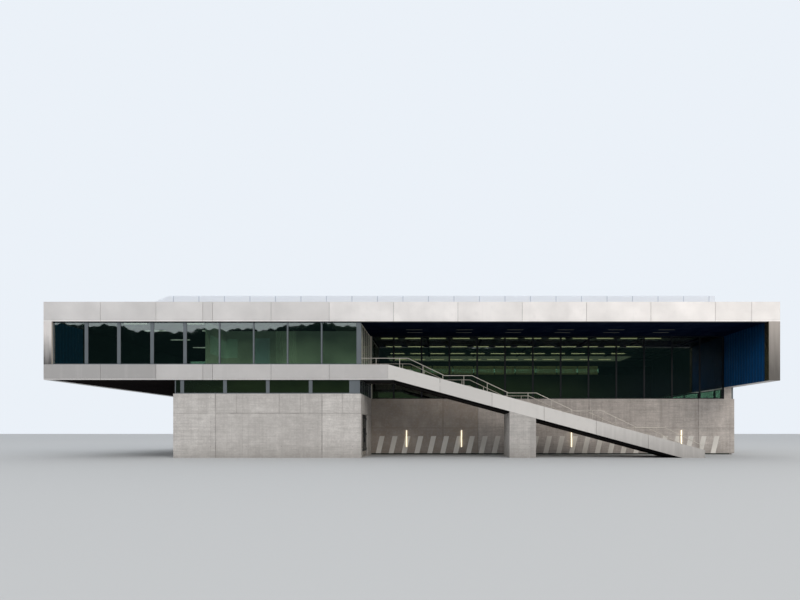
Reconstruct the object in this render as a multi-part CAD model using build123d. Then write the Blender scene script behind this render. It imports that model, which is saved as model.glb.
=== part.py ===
from build123d import *
import math
import os

# Sports hall as a half-size scale model. Every size is the model's, in
# millimetres, and is half of the real one.
# The origin is at the bottom centre, +X runs to the right along the front,
# +Y runs to the back and +Z is up.

# Overall form
length = 25760
depth = 11250
wall = 200
panel = 30
joint = 10
slack = 5

# Storey heights, from the ground up
plinth_height = 2245
strip_height = 485
lower_fascia_height = 540
window_height = 1505
upper_fascia_height = 685

# Ground storey
cantilever = 4535
block_width = 6565
floor_thickness = 50
loggia_depth = 3100
base_setback = 20

# Upper storey
left_wall_thickness = 280
right_wall_thickness = 390
right_wall_drop = 25
slab_thickness = 250
soffit_thickness = 60
parapet_thickness = 150
coping_drop = 15
roof_thickness = 400
ceiling_thickness = 25
lining = 15
steel_reveal = 250

# Grooves in the concrete
groove_width = 12
groove_depth = 6
pour_joint_height = 1555
block_joint_first = 1475
block_joint_second = 5200
small_joints = (2215, 3710, 4445, 5915)
hall_joints = (2890, 4305, 8790, 13205)
hall_pour_height = 1065

# Sheet metal panel widths, from the left end
panel_widths = (1985, 1945, 1640, 340, 2045, 2035)
bay = 2250
corner_panel_width = 995

# Windows
frame_depth = 50
frame_recess = 40
hall_frame_recess = 20
rail = 30
glass = 14
wide_mullion = 120
thin_mullion = 55
wide_mullion_places = (1455, 2595, 3760, 4915)
thin_mullion_places = (6125, 7325, 8515, 9710)
window_end_panel = 165
strip_mullion = 125
strip_mullion_spacing = 1500
strip_mullion_first = 1795
strip_end_panel = 375
hall_mullion = 60
hall_mullion_spacing = 1125
hall_mullion_first = 905
return_mullion = 40
return_mullion_spacing = 580
high_window_sill = 4110
high_window_height = 280
corner_pier_depth = 350
corner_pier_offset = 115
rear_pier_length = 390

# Outside stair
stair_width = 1750
riser = 76
going = 160
steps_per_flight = 8
flight_count = 5
landing_length = 970
stair_start = 1640
band_break = 940
band_break_shift = 200
band_end = 12030
stair_panel = 1822
stair_least_panel = 900
stair_side = 30
pier_start = 5200
pier_length = 920

# Guards on the stair
tube_radius = 10.5
rail_height = 450
mid_rail_height = 225
post_gap = 12
first_post_offset = -1115
post_offsets = (-290, 530, 1225)
rail_end_gap = 35

# Double door in the block's return wall
door_start = 350
door_width = 1500
door_top = 1540
jamb = 60
frame_thickness = 90
leaf_thickness = 30
door_gap = 5
door_setback = 40
light_width = 160
light_height = 1050
light_sill = 260
light_offset = 300
light_glass = 10
hinge_radius = 9
hinge_height = 40
hinge_play = 0.5
hinge_offset = 12
hinge_side_gap = 3
hinge_places = (180, 740, 1300)
handle_radius = 8
handle_post_radius = 6
handle_length = 520
handle_base = 480
handle_reach = 34
handle_edge = 60

# Lamps
wall_lamp_radius = 26
wall_lamp_base = 285
wall_lamp_height = 710
wall_lamp_first = 1425
wall_lamp_spacing = 2216
wall_lamp_end_gap = 700
wall_lamp_sink = 5
wall_lamp_plate = 44
wall_lamp_plate_depth = 16
soffit_lamp_length = 620
soffit_lamp_width = 50
soffit_lamp_depth = 12
soffit_lamp_first = 1790
soffit_lamp_spacing = 1910
soffit_lamp_end_gap = 1200
soffit_lamp_rows = (1600, 2200)
track_width = 60
track_height = 40
track_count = 4
track_front_gap = 350
track_rear_gap = 800
track_end_gap = 300

# Truss lantern on the roof
lantern_width = 1500
lantern_top = 6400
curb_height = 400
curb_thickness = 60
lantern_left = 1025
lantern_slope_length = 1885
lantern_right_gap = 780
skin = 20
truss_member = 70
diagonal_member = 45
truss_bay = 2060
truss_first_post = 4345
slot_front_gap = 550
slot_width = 850
slot_end_gap = 600

# Levels
z_strip = plinth_height
z_fascia = z_strip + strip_height
z_window = z_fascia + lower_fascia_height
z_head = z_window + window_height
z_top = z_head + upper_fascia_height
z_slab = z_fascia + soffit_thickness
z_floor = z_slab + slab_thickness
z_roof = z_head + ceiling_thickness
z_deck = z_roof + roof_thickness
z_curb = z_deck + curb_height

# Main planes
x_left = -length / 2
x_right = length / 2
y_front = -depth / 2
y_rear = depth / 2
x_block_left = x_left + cantilever
x_block_right = x_block_left + block_width
x_inner_left = x_left + left_wall_thickness
x_inner_right = x_right - right_wall_thickness
x_hall_left = x_block_right - wall
y_glass = y_front + loggia_depth
y_hall = y_glass + wall
y_skin_front = y_front + panel
y_skin_rear = y_rear - panel
y_rear_wall = y_rear - wall
y_stair = y_front + stair_width
x_stair = x_block_right + stair_start
x_break_top = x_block_right + band_break
x_break_bottom = x_break_top + band_break_shift
x_band_end = x_block_right + band_end
flight_drop = riser * steps_per_flight
module = going * steps_per_flight + landing_length
slope = flight_drop / module
y_door_start = y_front + door_start
y_door_end = y_door_start + door_width


def block(x0, x1, y0, y1, z0, z1):
    """A box between two corners."""
    size = Box(x1 - x0, y1 - y0, z1 - z0)
    return Pos((x0 + x1) / 2, (y0 + y1) / 2, (z0 + z1) / 2) * size


def upright_plate(points, y0, y1):
    """A plate with an outline in the XZ plane, from y0 to y1."""
    face = make_face(Polyline(*[(x, z) for x, z in points], close=True))
    raised = extrude(face, amount=y1 - y0)
    return Pos(0, y1, 0) * Rot(90, 0, 0) * raised


def tube(start, end, radius=tube_radius):
    """A round bar between two points."""
    run = Vector(*end) - Vector(*start)
    plane = Plane(origin=start, z_dir=run)
    return plane * Pos(0, 0, run.length / 2) * Cylinder(radius, run.length)


def joined(pieces):
    """Pieces that touch, as one solid."""
    whole = pieces[0]
    for piece in pieces[1:]:
        whole = whole + piece
    return whole.clean()


def group(pieces):
    """Separate solids of one kind."""
    solids = []
    for piece in pieces:
        solids.extend(piece.solids())
    return Compound(solids)


def repeated(first, last, spacing):
    """Places from first up to last, a spacing apart."""
    count = int((last - first) // spacing) + 1
    return [first + number * spacing for number in range(count)]


def band_bottom(x):
    """Height of the stair band's lower edge at x."""
    return max(0, z_fascia - slope * max(0, x - x_break_bottom))


def band_top(x):
    """Height of the stair band's upper edge at x."""
    return z_window - slope * max(0, x - x_break_top)


def step_level(x):
    """Height of the stair's walking surface at x."""
    if x < x_stair:
        return z_floor
    flight = int((x - x_stair) // module)
    along = x - x_stair - flight * module
    steps = min(steps_per_flight, math.floor(along / going + 0.5))
    return z_floor - flight * flight_drop - steps * riser


def walking_line(x):
    """Height of the line that the guard rails follow at x."""
    if x < x_stair:
        return z_floor
    flight = int((x - x_stair) // module)
    along = min(x - x_stair - flight * module, going * steps_per_flight)
    return z_floor - flight * flight_drop - along * riser / going


# Floors and concrete walls

def ground_floors():
    """Floor slabs of the block and of the hall."""
    z1 = floor_thickness
    block_floor = block(x_block_left + wall, x_hall_left, y_front + wall, y_rear_wall, 0, z1)
    y_base = y_glass + base_setback
    hall_floor = block(x_block_right, x_right - wall, y_base, y_rear_wall, 0, z1)
    return group([block_floor, hall_floor])


def groove(x, y_face, z0, z1):
    """A vertical joint cut in a wall face that looks to the front."""
    return block(x - groove_width / 2, x + groove_width / 2, y_face, y_face + groove_depth, z0, z1)


def block_front_wall():
    """Front wall of the block, with its pour joints."""
    body = block(x_block_left, x_block_right, y_front, y_front + wall, 0, z_strip)
    cuts = [
        groove(x_block_left + block_joint_first, y_front, 0, z_strip),
        groove(x_block_left + block_joint_second, y_front, 0, z_strip),
        block(
            x_block_left,
            x_block_right,
            y_front,
            y_front + groove_depth,
            pour_joint_height - groove_width / 2,
            pour_joint_height + groove_width / 2,
        ),
    ]
    for place in small_joints:
        cuts.append(groove(x_block_left + place, y_front, pour_joint_height, z_strip))
    return body - cuts


def block_left_wall():
    """Wall under the overhang."""
    return block(x_block_left, x_block_left + wall, y_front + wall, y_rear_wall, 0, z_strip)


def return_walls():
    """The block's return wall on both sides of the door."""
    front_pier = block(x_hall_left, x_block_right, y_front + wall, y_door_start, 0, z_strip)
    rear_part = block(x_hall_left, x_block_right, y_door_end, y_hall, 0, z_strip)
    return group([front_pier, rear_part])


def return_lintel():
    """The return wall over the door."""
    return block(x_hall_left, x_block_right, y_door_start, y_door_end, door_top, z_strip)


def hall_front_wall():
    """Recessed concrete wall of the hall, on its set back base."""
    body = block(x_block_right, x_right, y_glass, y_hall, floor_thickness, z_strip)
    cuts = []
    for place in hall_joints:
        if x_block_right + place < x_right:
            cuts.append(groove(x_block_right + place, y_glass, floor_thickness, z_strip))
    cuts.append(
        block(
            x_block_right,
            x_right,
            y_glass,
            y_glass + groove_depth,
            hall_pour_height - groove_width / 2,
            hall_pour_height + groove_width / 2,
        )
    )
    return body - cuts


def right_plinth_wall():
    """Concrete wall on the right side."""
    return block(x_right - wall, x_right, y_hall, y_rear_wall, 0, z_strip)


def rear_plinth_wall():
    """Concrete wall at the back."""
    return block(x_block_left, x_right, y_rear_wall, y_rear, 0, z_strip)


def hall_left_walls():
    """Walls between the hall and the rooms on its left, below and above the floor."""
    lower = block(x_hall_left, x_block_right, y_hall, y_rear_wall, 0, z_slab)
    upper = block(x_hall_left, x_block_right, y_hall, y_rear_wall, z_floor, z_roof)
    return group([lower, upper])


def corner_piers():
    """Short concrete piers under the right end wall."""
    x0 = x_inner_right - lining
    z1 = z_fascia - right_wall_drop
    x1 = x_right - corner_pier_offset
    front = block(x0, x1, y_glass, y_glass + corner_pier_depth, z_strip, z1)
    rear = block(x0, x_right, y_rear - rear_pier_length, y_rear, z_strip, z1)
    return group([front, rear])


# Windows

def frame_along_x(x0, x1, y0, z0, z1, mullions, end_panel=rail):
    """A window frame parallel to the front: two rails, two ends and its mullions."""
    y1 = y0 + frame_depth
    pieces = [
        block(x0, x1, y0, y1, z0, z0 + rail),
        block(x0, x1, y0, y1, z1 - rail, z1),
        block(x0, x0 + rail, y0, y1, z0, z1),
        block(x1 - end_panel, x1, y0, y1, z0, z1),
    ]
    for place, width in mullions:
        pieces.append(block(place - width / 2, place + width / 2, y0, y1, z0, z1))
    return joined(pieces)


def frame_along_y(y0, y1, x0, z0, z1, mullions):
    """A window frame square to the front."""
    x1 = x0 + frame_depth
    pieces = [
        block(x0, x1, y0, y1, z0, z0 + rail),
        block(x0, x1, y0, y1, z1 - rail, z1),
        block(x0, x1, y0, y0 + rail, z0, z1),
        block(x0, x1, y1 - rail, y1, z0, z1),
    ]
    for place, width in mullions:
        pieces.append(block(x0, x1, place - width / 2, place + width / 2, z0, z1))
    return joined(pieces)


def spaced(first, last, spacing, width):
    """Mullions from first up to last, each with its width."""
    return [(place, width) for place in repeated(first, last, spacing)]


def panes_along_x(x0, x1, y0, z0, z1, mullions, end_panel=rail):
    """The panes of a frame parallel to the front, between its bars."""
    edges = [x0 + rail]
    for place, width in sorted(mullions):
        edges.extend([place - width / 2, place + width / 2])
    edges.append(x1 - end_panel)
    y_pane = y0 + (frame_depth - glass) / 2
    panes = []
    for left, right in zip(edges[::2], edges[1::2]):
        panes.append(block(left, right, y_pane, y_pane + glass, z0 + rail, z1 - rail))
    return panes


def panes_along_y(y0, y1, x0, z0, z1, mullions):
    """The panes of a frame square to the front, between its bars."""
    edges = [y0 + rail]
    for place, width in sorted(mullions):
        edges.extend([place - width / 2, place + width / 2])
    edges.append(y1 - rail)
    x_pane = x0 + (frame_depth - glass) / 2
    panes = []
    for near, far in zip(edges[::2], edges[1::2]):
        panes.append(block(x_pane, x_pane + glass, near, far, z0 + rail, z1 - rail))
    return panes


def strip_rows_along_x():
    """Front and rear strip windows: ends, plane, levels, mullions and end panel."""
    x0 = x_block_left + frame_recess
    front_end = x_block_right - frame_recess
    rear_end = x_inner_right - lining
    spacing = strip_mullion_spacing
    first = x_block_left + strip_mullion_first
    front_bars = spaced(first - spacing, front_end - strip_end_panel, spacing, strip_mullion)
    rear_bars = spaced(first, rear_end - strip_mullion, spacing, strip_mullion)
    y_rear_row = y_rear - frame_recess - frame_depth
    return [
        (x0, front_end, y_front + frame_recess, z_strip, z_slab, front_bars, strip_end_panel),
        (x0, rear_end, y_rear_row, z_strip, z_slab, rear_bars, rail),
    ]


def strip_rows_along_y():
    """Left, return and right strip windows: ends, plane, levels and mullions."""
    corner = frame_recess + frame_depth + slack
    y0 = y_front + corner
    y1 = y_rear - corner
    spacing = strip_mullion_spacing
    left_bars = spaced(y0 + spacing, y1 - strip_mullion, spacing, strip_mullion)
    right_start = y_glass + hall_frame_recess
    right_end = y_rear - rear_pier_length
    right_bars = spaced(right_start + spacing, right_end - strip_mullion, spacing, strip_mullion)
    y_end = y_glass + hall_frame_recess + frame_depth
    spacing = return_mullion_spacing
    return_bars = spaced(y0 + spacing, y_end - spacing, spacing, return_mullion)
    x_return = x_block_right - frame_recess - frame_depth
    x_side = x_right - frame_recess - frame_depth
    return [
        (y0, y1, x_block_left + frame_recess, z_strip, z_slab, left_bars),
        (y0, y_end, x_return, z_strip, z_slab, return_bars),
        (right_start, right_end, x_side, z_strip, z_fascia - right_wall_drop, right_bars),
    ]


def corner_post(z0, z1):
    """Post that closes the corner of the return glazing and the hall's glass front."""
    y0 = y_glass + hall_frame_recess
    return block(x_block_right - frame_recess, x_block_right, y0, y0 + frame_depth, z0, z1)


def strip_frames():
    """Frames of the low window band round the building."""
    frames = [frame_along_x(*row) for row in strip_rows_along_x()]
    left, back, right = [frame_along_y(*row) for row in strip_rows_along_y()]
    back = joined([back, corner_post(z_strip, z_slab)])
    y0 = y_glass + hall_frame_recess
    y1 = y0 + frame_depth
    x0 = x_right - corner_pier_offset
    x1 = x_right - frame_recess - frame_depth
    closer = block(x0, x1, y0, y1, z_strip, z_fascia - right_wall_drop)
    return group(frames + [left, back, joined([right, closer])])


def strip_glass():
    """Panes of the low window band."""
    panes = []
    for row in strip_rows_along_x():
        panes.extend(panes_along_x(*row))
    for row in strip_rows_along_y():
        panes.extend(panes_along_y(*row))
    return group(panes)


def upper_rows():
    """Front, rear and high rear windows of the upper storey."""
    bars = [(x_left + place, wide_mullion) for place in wide_mullion_places]
    bars.extend((x_left + place, thin_mullion) for place in thin_mullion_places)
    y0 = y_skin_front + frame_recess
    y1 = y_skin_rear - frame_recess - frame_depth
    high_end = x_inner_right - lining
    high_first = x_block_right + hall_mullion_spacing
    high_bars = spaced(high_first, high_end - hall_mullion, hall_mullion_spacing, thin_mullion)
    high_top = high_window_sill + high_window_height
    return [
        (x_inner_left, x_block_right, y0, z_window, z_head, bars, window_end_panel),
        (x_inner_left, x_block_right - slack, y1, z_window, z_head, bars, window_end_panel),
        (x_block_right, high_end, y1, high_window_sill, high_top, high_bars, rail),
    ]


def upper_window_frames():
    """Frames of the upper storey's windows."""
    return group([frame_along_x(*row) for row in upper_rows()])


def upper_window_glass():
    """Panes of the upper storey's windows."""
    panes = []
    for row in upper_rows():
        panes.extend(panes_along_x(*row))
    return group(panes)


def hall_front_row():
    """The hall's glass front."""
    x1 = x_inner_right - lining
    first = x_block_right + hall_mullion_first
    bars = spaced(first, x1 - hall_mullion_spacing / 2, hall_mullion_spacing, hall_mullion)
    return x_block_right, x1, y_glass + hall_frame_recess, z_strip, z_head, bars, hall_mullion


def loggia_return_row():
    """Glazing between the landing and the upper rooms."""
    y0 = y_skin_front + frame_recess + frame_depth + slack
    y1 = y_glass + hall_frame_recess + frame_depth
    spacing = return_mullion_spacing
    bars = spaced(y0 + spacing, y1 - return_mullion, spacing, return_mullion)
    return y0, y1, x_block_right - frame_recess - frame_depth, z_floor, z_head, bars


def corner_gap():
    """Open joint between the hall's frame and the corner post."""
    y0 = y_glass + hall_frame_recess
    return block(x_block_right, x_block_right + slack, y0, y0 + frame_depth, z_strip, z_head)


def hall_glazing_frames():
    """Frames of the hall's glass front and of the loggia's return."""
    front = frame_along_x(*hall_front_row())
    row = loggia_return_row()
    x_frame = x_block_right - frame_recess - frame_depth
    foot = block(x_frame, x_block_right, y_skin_front, row[0] + rail, z_floor, z_window)
    back = joined([frame_along_y(*row), corner_post(z_floor, z_head), foot])
    clear_front = front - corner_gap()
    return group([clear_front, back])


def hall_glazing():
    """Panes of the hall's glass front and of the loggia's return."""
    return group(panes_along_x(*hall_front_row()) + panes_along_y(*loggia_return_row()))


# Upper storey

def upper_floor_slab():
    """Floor of the upper storey, out to the end of the overhang."""
    return block(x_inner_left, x_block_right, y_skin_front, y_skin_rear, z_slab, z_floor)


def overhang_soffit():
    """Dark lining under the overhang."""
    return block(x_inner_left, x_block_left, y_skin_front, y_skin_rear, z_fascia, z_slab)


def window_upstands():
    """Low walls under the upper windows."""
    x0 = x_inner_left
    x1 = x_block_right - frame_recess - frame_depth
    y_inside = y_skin_front + parapet_thickness
    front = block(x0, x1, y_skin_front, y_inside, z_floor, z_window)
    y_inside = y_skin_rear - parapet_thickness
    rear = block(x0, x_block_right, y_inside, y_skin_rear, z_floor, z_window)
    return group([front, rear])


def hall_rear_wall():
    """Back wall of the hall, below and above its high windows."""
    x1 = x_inner_right
    foot = block(x_block_right, x1, y_rear_wall, y_skin_rear, z_slab, z_window)
    body = block(x_block_right, x1, y_rear_wall, y_rear, z_window, high_window_sill)
    head = block(x_block_right, x1, y_rear_wall, y_rear, high_window_sill + high_window_height, z_head)
    return group([joined([foot, body]), head])


def panel_row(edges, y_face, z0, z1):
    """Sheet metal panels side by side, with an open joint between them."""
    panels = []
    for left, right in zip(edges, edges[1:]):
        x0 = left if left == edges[0] else left + joint / 2
        x1 = right if right == edges[-1] else right - joint / 2
        panels.append(block(x0, x1, y_face, y_face + panel, z0, z1))
    return panels


def fascia_edges():
    """Panel joints along the whole front."""
    edges = [x_left]
    for width in panel_widths:
        edges.append(edges[-1] + width)
    x_corner = x_right - corner_panel_width
    while edges[-1] + bay < x_corner:
        edges.append(edges[-1] + bay)
    return edges + [x_corner, x_right]


def upper_fascia_panels():
    """Upper band of stainless panels, front and rear."""
    edges = fascia_edges()
    front = panel_row(edges, y_front, z_head, z_top)
    rear = panel_row(edges, y_skin_rear, z_head, z_top)
    return group(front + rear)


def lower_fascia_panels():
    """Lower band of stainless panels: in front up to the stair, at the back all along."""
    edges = fascia_edges()
    front_edges = [edge for edge in edges if edge < x_block_right] + [x_break_top]
    front = panel_row(front_edges, y_front, z_fascia, z_window)
    rear = panel_row(edges, y_skin_rear, z_fascia, z_window)
    return group(front + rear)


def end_panels():
    """Stainless panels on the ends of the side walls, front and rear."""
    z_drop = z_fascia - right_wall_drop
    left_front = block(x_left, x_inner_left, y_front, y_skin_front, z_window, z_head)
    left_rear = block(x_left, x_inner_left, y_skin_rear, y_rear, z_window, z_head)
    right_front = block(x_inner_right, x_right, y_front, y_skin_front, z_drop, z_head)
    right_rear = block(x_inner_right, x_right, y_skin_rear, y_rear, z_window, z_head)
    return group([left_front, left_rear, right_front, right_rear])


def side_joints(x_face, z0):
    """Vertical panel joints cut in a side wall's outer face."""
    cuts = []
    count = int((depth - bay) // bay)
    for number in range(1, count + 2):
        place = y_front + number * bay
        y0 = place - joint / 2
        cuts.append(block(x_face - groove_depth, x_face + groove_depth, y0, y0 + joint, z0, z_top))
    return cuts


def left_end_wall():
    """Closed wall at the end of the overhang."""
    body = block(x_left, x_inner_left, y_skin_front, y_skin_rear, z_fascia, z_top)
    return body - side_joints(x_left, z_fascia)


def right_end_wall():
    """Closed wall at the right end, out to the front plane."""
    z0 = z_fascia - right_wall_drop
    body = block(x_inner_right, x_right, y_skin_front, y_skin_rear, z0, z_top)
    return body - side_joints(x_right, z0)


def blue_linings():
    """Ribbed lining on the right end wall, outside in the loggia and inside the hall."""
    x0 = x_inner_right - lining
    z0 = z_fascia - right_wall_drop
    y_frame = y_glass + hall_frame_recess
    outside = block(x0, x_inner_right, y_front + steel_reveal, y_frame, z0, z_head)
    inside = block(x0, x_inner_right, y_frame + frame_depth, y_rear_wall, z_slab, z_head)
    return group([outside, inside])


def parapets():
    """Roof edge beams behind the upper band."""
    x0 = x_inner_left
    x1 = x_inner_right
    z1 = z_top - coping_drop
    front = block(x0, x1, y_skin_front, y_skin_front + parapet_thickness, z_head, z1)
    rear = block(x0, x1, y_skin_rear - parapet_thickness, y_skin_rear, z_head, z1)
    return group([front, rear])


def loggia_soffit():
    """Dark ceiling of the loggia."""
    x0 = x_block_right - frame_recess - frame_depth
    y1 = y_glass + hall_frame_recess + frame_depth
    return block(x0, x_inner_right, y_skin_front + parapet_thickness, y1, z_head, z_roof)


# Roof and its lantern

def lantern_ends():
    """Outer ends of the lantern's curb."""
    return x_left + lantern_left, x_right - lantern_right_gap


def roof_deck():
    """Roof slab, with the opening under the lantern."""
    x0, x1 = lantern_ends()
    y0 = y_skin_front + parapet_thickness
    y1 = y_skin_rear - parapet_thickness
    y_slot = y_glass + slot_front_gap
    body = block(x_inner_left, x_inner_right, y0, y1, z_roof, z_deck)
    slot = block(x0 + slot_end_gap, x1 - slot_end_gap, y_slot, y_slot + slot_width, z_roof, z_deck)
    return body - slot


def roof_curb():
    """Upstand that carries the lantern."""
    x0, x1 = lantern_ends()
    y0 = y_glass
    y1 = y0 + lantern_width
    t = curb_thickness
    outer = block(x0, x1, y0, y1, z_deck, z_curb)
    return outer - block(x0 + t, x1 - t, y0 + t, y1 - t, z_deck, z_curb)


def lantern_glazing():
    """Translucent cover: front, back, top, sloping left end and upright right end."""
    x0, x1 = lantern_ends()
    y0 = y_glass
    y1 = y0 + lantern_width
    rise = lantern_top - z_curb
    lean = lantern_slope_length / rise
    inset = skin * math.hypot(1, lean)
    outer = [(x0, z_curb), (x1, z_curb), (x1, lantern_top), (x0 + lantern_slope_length, lantern_top)]
    z_in = lantern_top - skin
    x_top = x0 + inset + (z_in - z_curb) * lean
    inner = [(x0 + inset, z_curb), (x1 - skin, z_curb), (x1 - skin, z_in), (x_top, z_in)]
    return upright_plate(outer, y0, y1) - upright_plate(inner, y0 + skin, y1 - skin)


def sloping_bar(start, end, height, y0, y1):
    """A flat bar between two points, with upright ends."""
    half = height / 2
    outline = [
        (start[0], start[1] - half),
        (end[0], end[1] - half),
        (end[0], end[1] + half),
        (start[0], start[1] + half),
    ]
    return upright_plate(outline, y0, y1)


def truss(y0):
    """One truss plane: chords, posts, falling diagonals and the sloping end."""
    x0, x1 = lantern_ends()
    y1 = y0 + truss_member
    z1 = lantern_top - skin - slack
    x_end = x1 - skin - slack
    lean = lantern_slope_length / (lantern_top - z_curb)
    inset = (skin + slack) * math.hypot(1, lean)
    x_start = x0 + inset
    x_top = x_start + (z1 - z_curb) * lean
    foot = truss_member * math.hypot(1, lean)
    end_slope = [(x_start, z_curb), (x_start + foot, z_curb), (x_top + foot, z1), (x_top, z1)]
    pieces = [
        block(x_start + foot, x_end, y0, y1, z_curb, z_curb + truss_member),
        block(x_top, x_end, y0, y1, z1 - truss_member, z1),
        upright_plate(end_slope, y0, y1),
    ]
    z_low = z_curb + truss_member / 2
    z_high = z1 - truss_member / 2
    for x_post in repeated(x_left + truss_first_post, x_end - truss_member, truss_bay):
        x_next = min(x_post + truss_bay, x_end - diagonal_member)
        pieces.append(block(x_post - truss_member / 2, x_post + truss_member / 2, y0, y1, z_curb, z1))
        pieces.append(sloping_bar((x_post, z_high), (x_next, z_low), diagonal_member, y0, y1))
    return joined(pieces)


def roof_trusses():
    """The two truss planes inside the lantern."""
    y0 = y_glass + skin + slack
    y1 = y_glass + lantern_width - skin - slack - truss_member
    return group([truss(y0), truss(y1)])


# Outside stair

def top_landing():
    """Landing in front of the upper rooms."""
    outline = [
        (x_block_right, z_fascia),
        (x_break_bottom, z_fascia),
        (x_stair, band_bottom(x_stair)),
        (x_stair, z_floor),
        (x_block_right, z_floor),
    ]
    return upright_plate(outline, y_front + stair_side, y_stair - stair_side)


def stair_flight(number):
    """One flight of steps with the landing at its foot."""
    x0 = x_stair + number * module
    z0 = z_floor - number * flight_drop
    last = number == flight_count - 1
    top = [(x0, z0)]
    for step in range(steps_per_flight):
        x_riser = x0 + (step + 0.5) * going
        level = z0 - step * riser
        top.append((x_riser, level))
        if not (last and step == steps_per_flight - 1):
            top.append((x_riser, level - riser))
    x_foot = x_break_bottom + z_fascia / slope
    if last:
        bottom = [(top[-1][0], 0), (x_foot, 0)]
    else:
        bottom = [(x0 + module, z0 - flight_drop), (x0 + module, band_bottom(x0 + module))]
    outline = top + bottom + [(x0, band_bottom(x0))]
    return upright_plate(outline, y_front + stair_side, y_stair - stair_side)


def band_panel(x0, x1, y0, y1):
    """A piece of the stair's side band between two upright edges."""
    x_foot = x_break_bottom + z_fascia / slope
    lower = [x0] + [x for x in (x_break_bottom, x_foot) if x0 < x < x1] + [x1]
    upper = [x1] + [x for x in (x_break_top,) if x0 < x < x1] + [x0]
    outline = [(x, band_bottom(x)) for x in lower] + [(x, band_top(x)) for x in upper]
    return upright_plate(outline, y0, y1)


def stair_outer_cladding():
    """Stainless panels on the stair's front side."""
    edges = [x_break_top]
    while edges[-1] + stair_panel + stair_least_panel < x_band_end:
        edges.append(edges[-1] + stair_panel)
    edges.append(x_band_end)
    panels = []
    for left, right in zip(edges, edges[1:]):
        x1 = right if right == x_band_end else right - joint / 2
        panels.append(band_panel(left + joint / 2, x1, y_front, y_front + stair_side))
    return group(panels)


def stair_inner_cladding():
    """Stainless side of the stair towards the hall."""
    return band_panel(x_block_right, x_band_end, y_stair - stair_side, y_stair)


def stair_pier():
    """Concrete pier under the stair."""
    x0 = x_block_right + pier_start
    x1 = x0 + pier_length
    outline = [(x0, 0), (x1, 0), (x1, band_bottom(x1)), (x0, band_bottom(x0))]
    return upright_plate(outline, y_front, y_stair)


def guard(y, heights):
    """A guard of tubes: rails that follow the flights, and posts."""
    x_end = x_band_end - rail_end_gap
    corners = [x_block_right]
    for number in range(flight_count):
        corners.append(x_stair + number * module)
        corners.append(x_stair + number * module + going * steps_per_flight)
    corners.append(x_end)
    pieces = []
    for height in heights:
        points = [(x, y, walking_line(x) + height) for x in corners]
        path = Polyline(*points)
        section = Plane(origin=points[0], z_dir=path % 0) * Circle(tube_radius)
        pieces.append(sweep(section, path=path, transition=Transition.RIGHT))
    places = [x_stair + first_post_offset]
    for number in range(flight_count):
        places.extend(x_stair + number * module + offset for offset in post_offsets)
    for x in places:
        pieces.append(tube((x, y, step_level(x)), (x, y, walking_line(x) + max(heights))))
    return joined(pieces)


def outer_guard():
    """Guard on the stair's front side."""
    return guard(y_front + stair_side + post_gap + tube_radius, [rail_height])


def inner_guard():
    """Guard on the stair's side towards the hall, with a second rail at half height."""
    return guard(y_stair - stair_side - post_gap - tube_radius, [rail_height, mid_rail_height])


# Door

x_leaf = x_block_right - door_setback
x_hinge = x_leaf + hinge_offset
z_leaf = floor_thickness + door_gap
z_leaf_top = door_top - jamb - door_gap
y_hinge_front = y_door_start + jamb + hinge_side_gap
y_hinge_rear = y_door_end - jamb - hinge_side_gap
y_middle = (y_hinge_front + y_hinge_rear) / 2


def span(y0, y1):
    """Two Y values in rising order."""
    return min(y0, y1), max(y0, y1)


def door_jambs():
    """Steel jambs with their halves of the hinges."""
    jambs = []
    for y_wall, y_hinge, side in ((y_door_start, y_hinge_front, 1), (y_door_end, y_hinge_rear, -1)):
        y0, y1 = span(y_wall, y_wall + side * jamb)
        pieces = [block(x_leaf - frame_thickness, x_leaf, y0, y1, floor_thickness, door_top - jamb)]
        y2, y3 = span(y_hinge - side * hinge_radius, y_hinge - side * hinge_side_gap)
        for place in hinge_places:
            z0 = z_leaf + place + hinge_height + hinge_play
            barrel = tube((x_hinge, y_hinge, z0), (x_hinge, y_hinge, z0 + hinge_height), hinge_radius)
            pieces.append(barrel)
            pieces.append(block(x_leaf, x_hinge, y2, y3, z0, z0 + hinge_height))
        jambs.append(joined(pieces))
    return group(jambs)


def door_head():
    """Steel head of the door frame."""
    return block(x_leaf - frame_thickness, x_leaf, y_door_start, y_door_end, door_top - jamb, door_top)


def door_threshold():
    """Sill under the double door."""
    return block(x_hall_left, x_block_right, y_door_start, y_door_end, 0, floor_thickness)


def light_box(y_hinge, side, thickness):
    """The narrow light of a leaf, at the middle of its thickness."""
    x1 = x_leaf - (leaf_thickness - thickness) / 2
    y0, y1 = span(y_hinge + side * light_offset, y_hinge + side * (light_offset + light_width))
    z0 = z_leaf + light_sill
    return block(x1 - thickness, x1, y0, y1, z0, z0 + light_height)


def door_leaf(y_hinge, side):
    """A leaf with its light cut through, its halves of the hinges and its handle."""
    y_near = y_hinge + side * hinge_side_gap
    y_far = y_middle - side * door_gap / 2
    y0, y1 = span(y_near, y_far)
    plate = block(x_leaf - leaf_thickness, x_leaf, y0, y1, z_leaf, z_leaf_top)
    pieces = [plate - light_box(y_hinge, side, leaf_thickness)]
    y2, y3 = span(y_hinge, y_near + side * hinge_offset)
    for place in hinge_places:
        z0 = z_leaf + place
        pieces.append(tube((x_hinge, y_hinge, z0), (x_hinge, y_hinge, z0 + hinge_height), hinge_radius))
        pieces.append(block(x_leaf, x_hinge, y2, y3, z0, z0 + hinge_height))
    y_bar = y_far - side * handle_edge
    x_bar = x_leaf + handle_reach
    z0 = z_leaf + handle_base
    z1 = z0 + handle_length
    pieces.append(tube((x_bar, y_bar, z0), (x_bar, y_bar, z1), handle_radius))
    for z in (z0 + handle_edge, z1 - handle_edge):
        pieces.append(tube((x_leaf, y_bar, z), (x_bar, y_bar, z), handle_post_radius))
    return joined(pieces)


# Lamps

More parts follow.
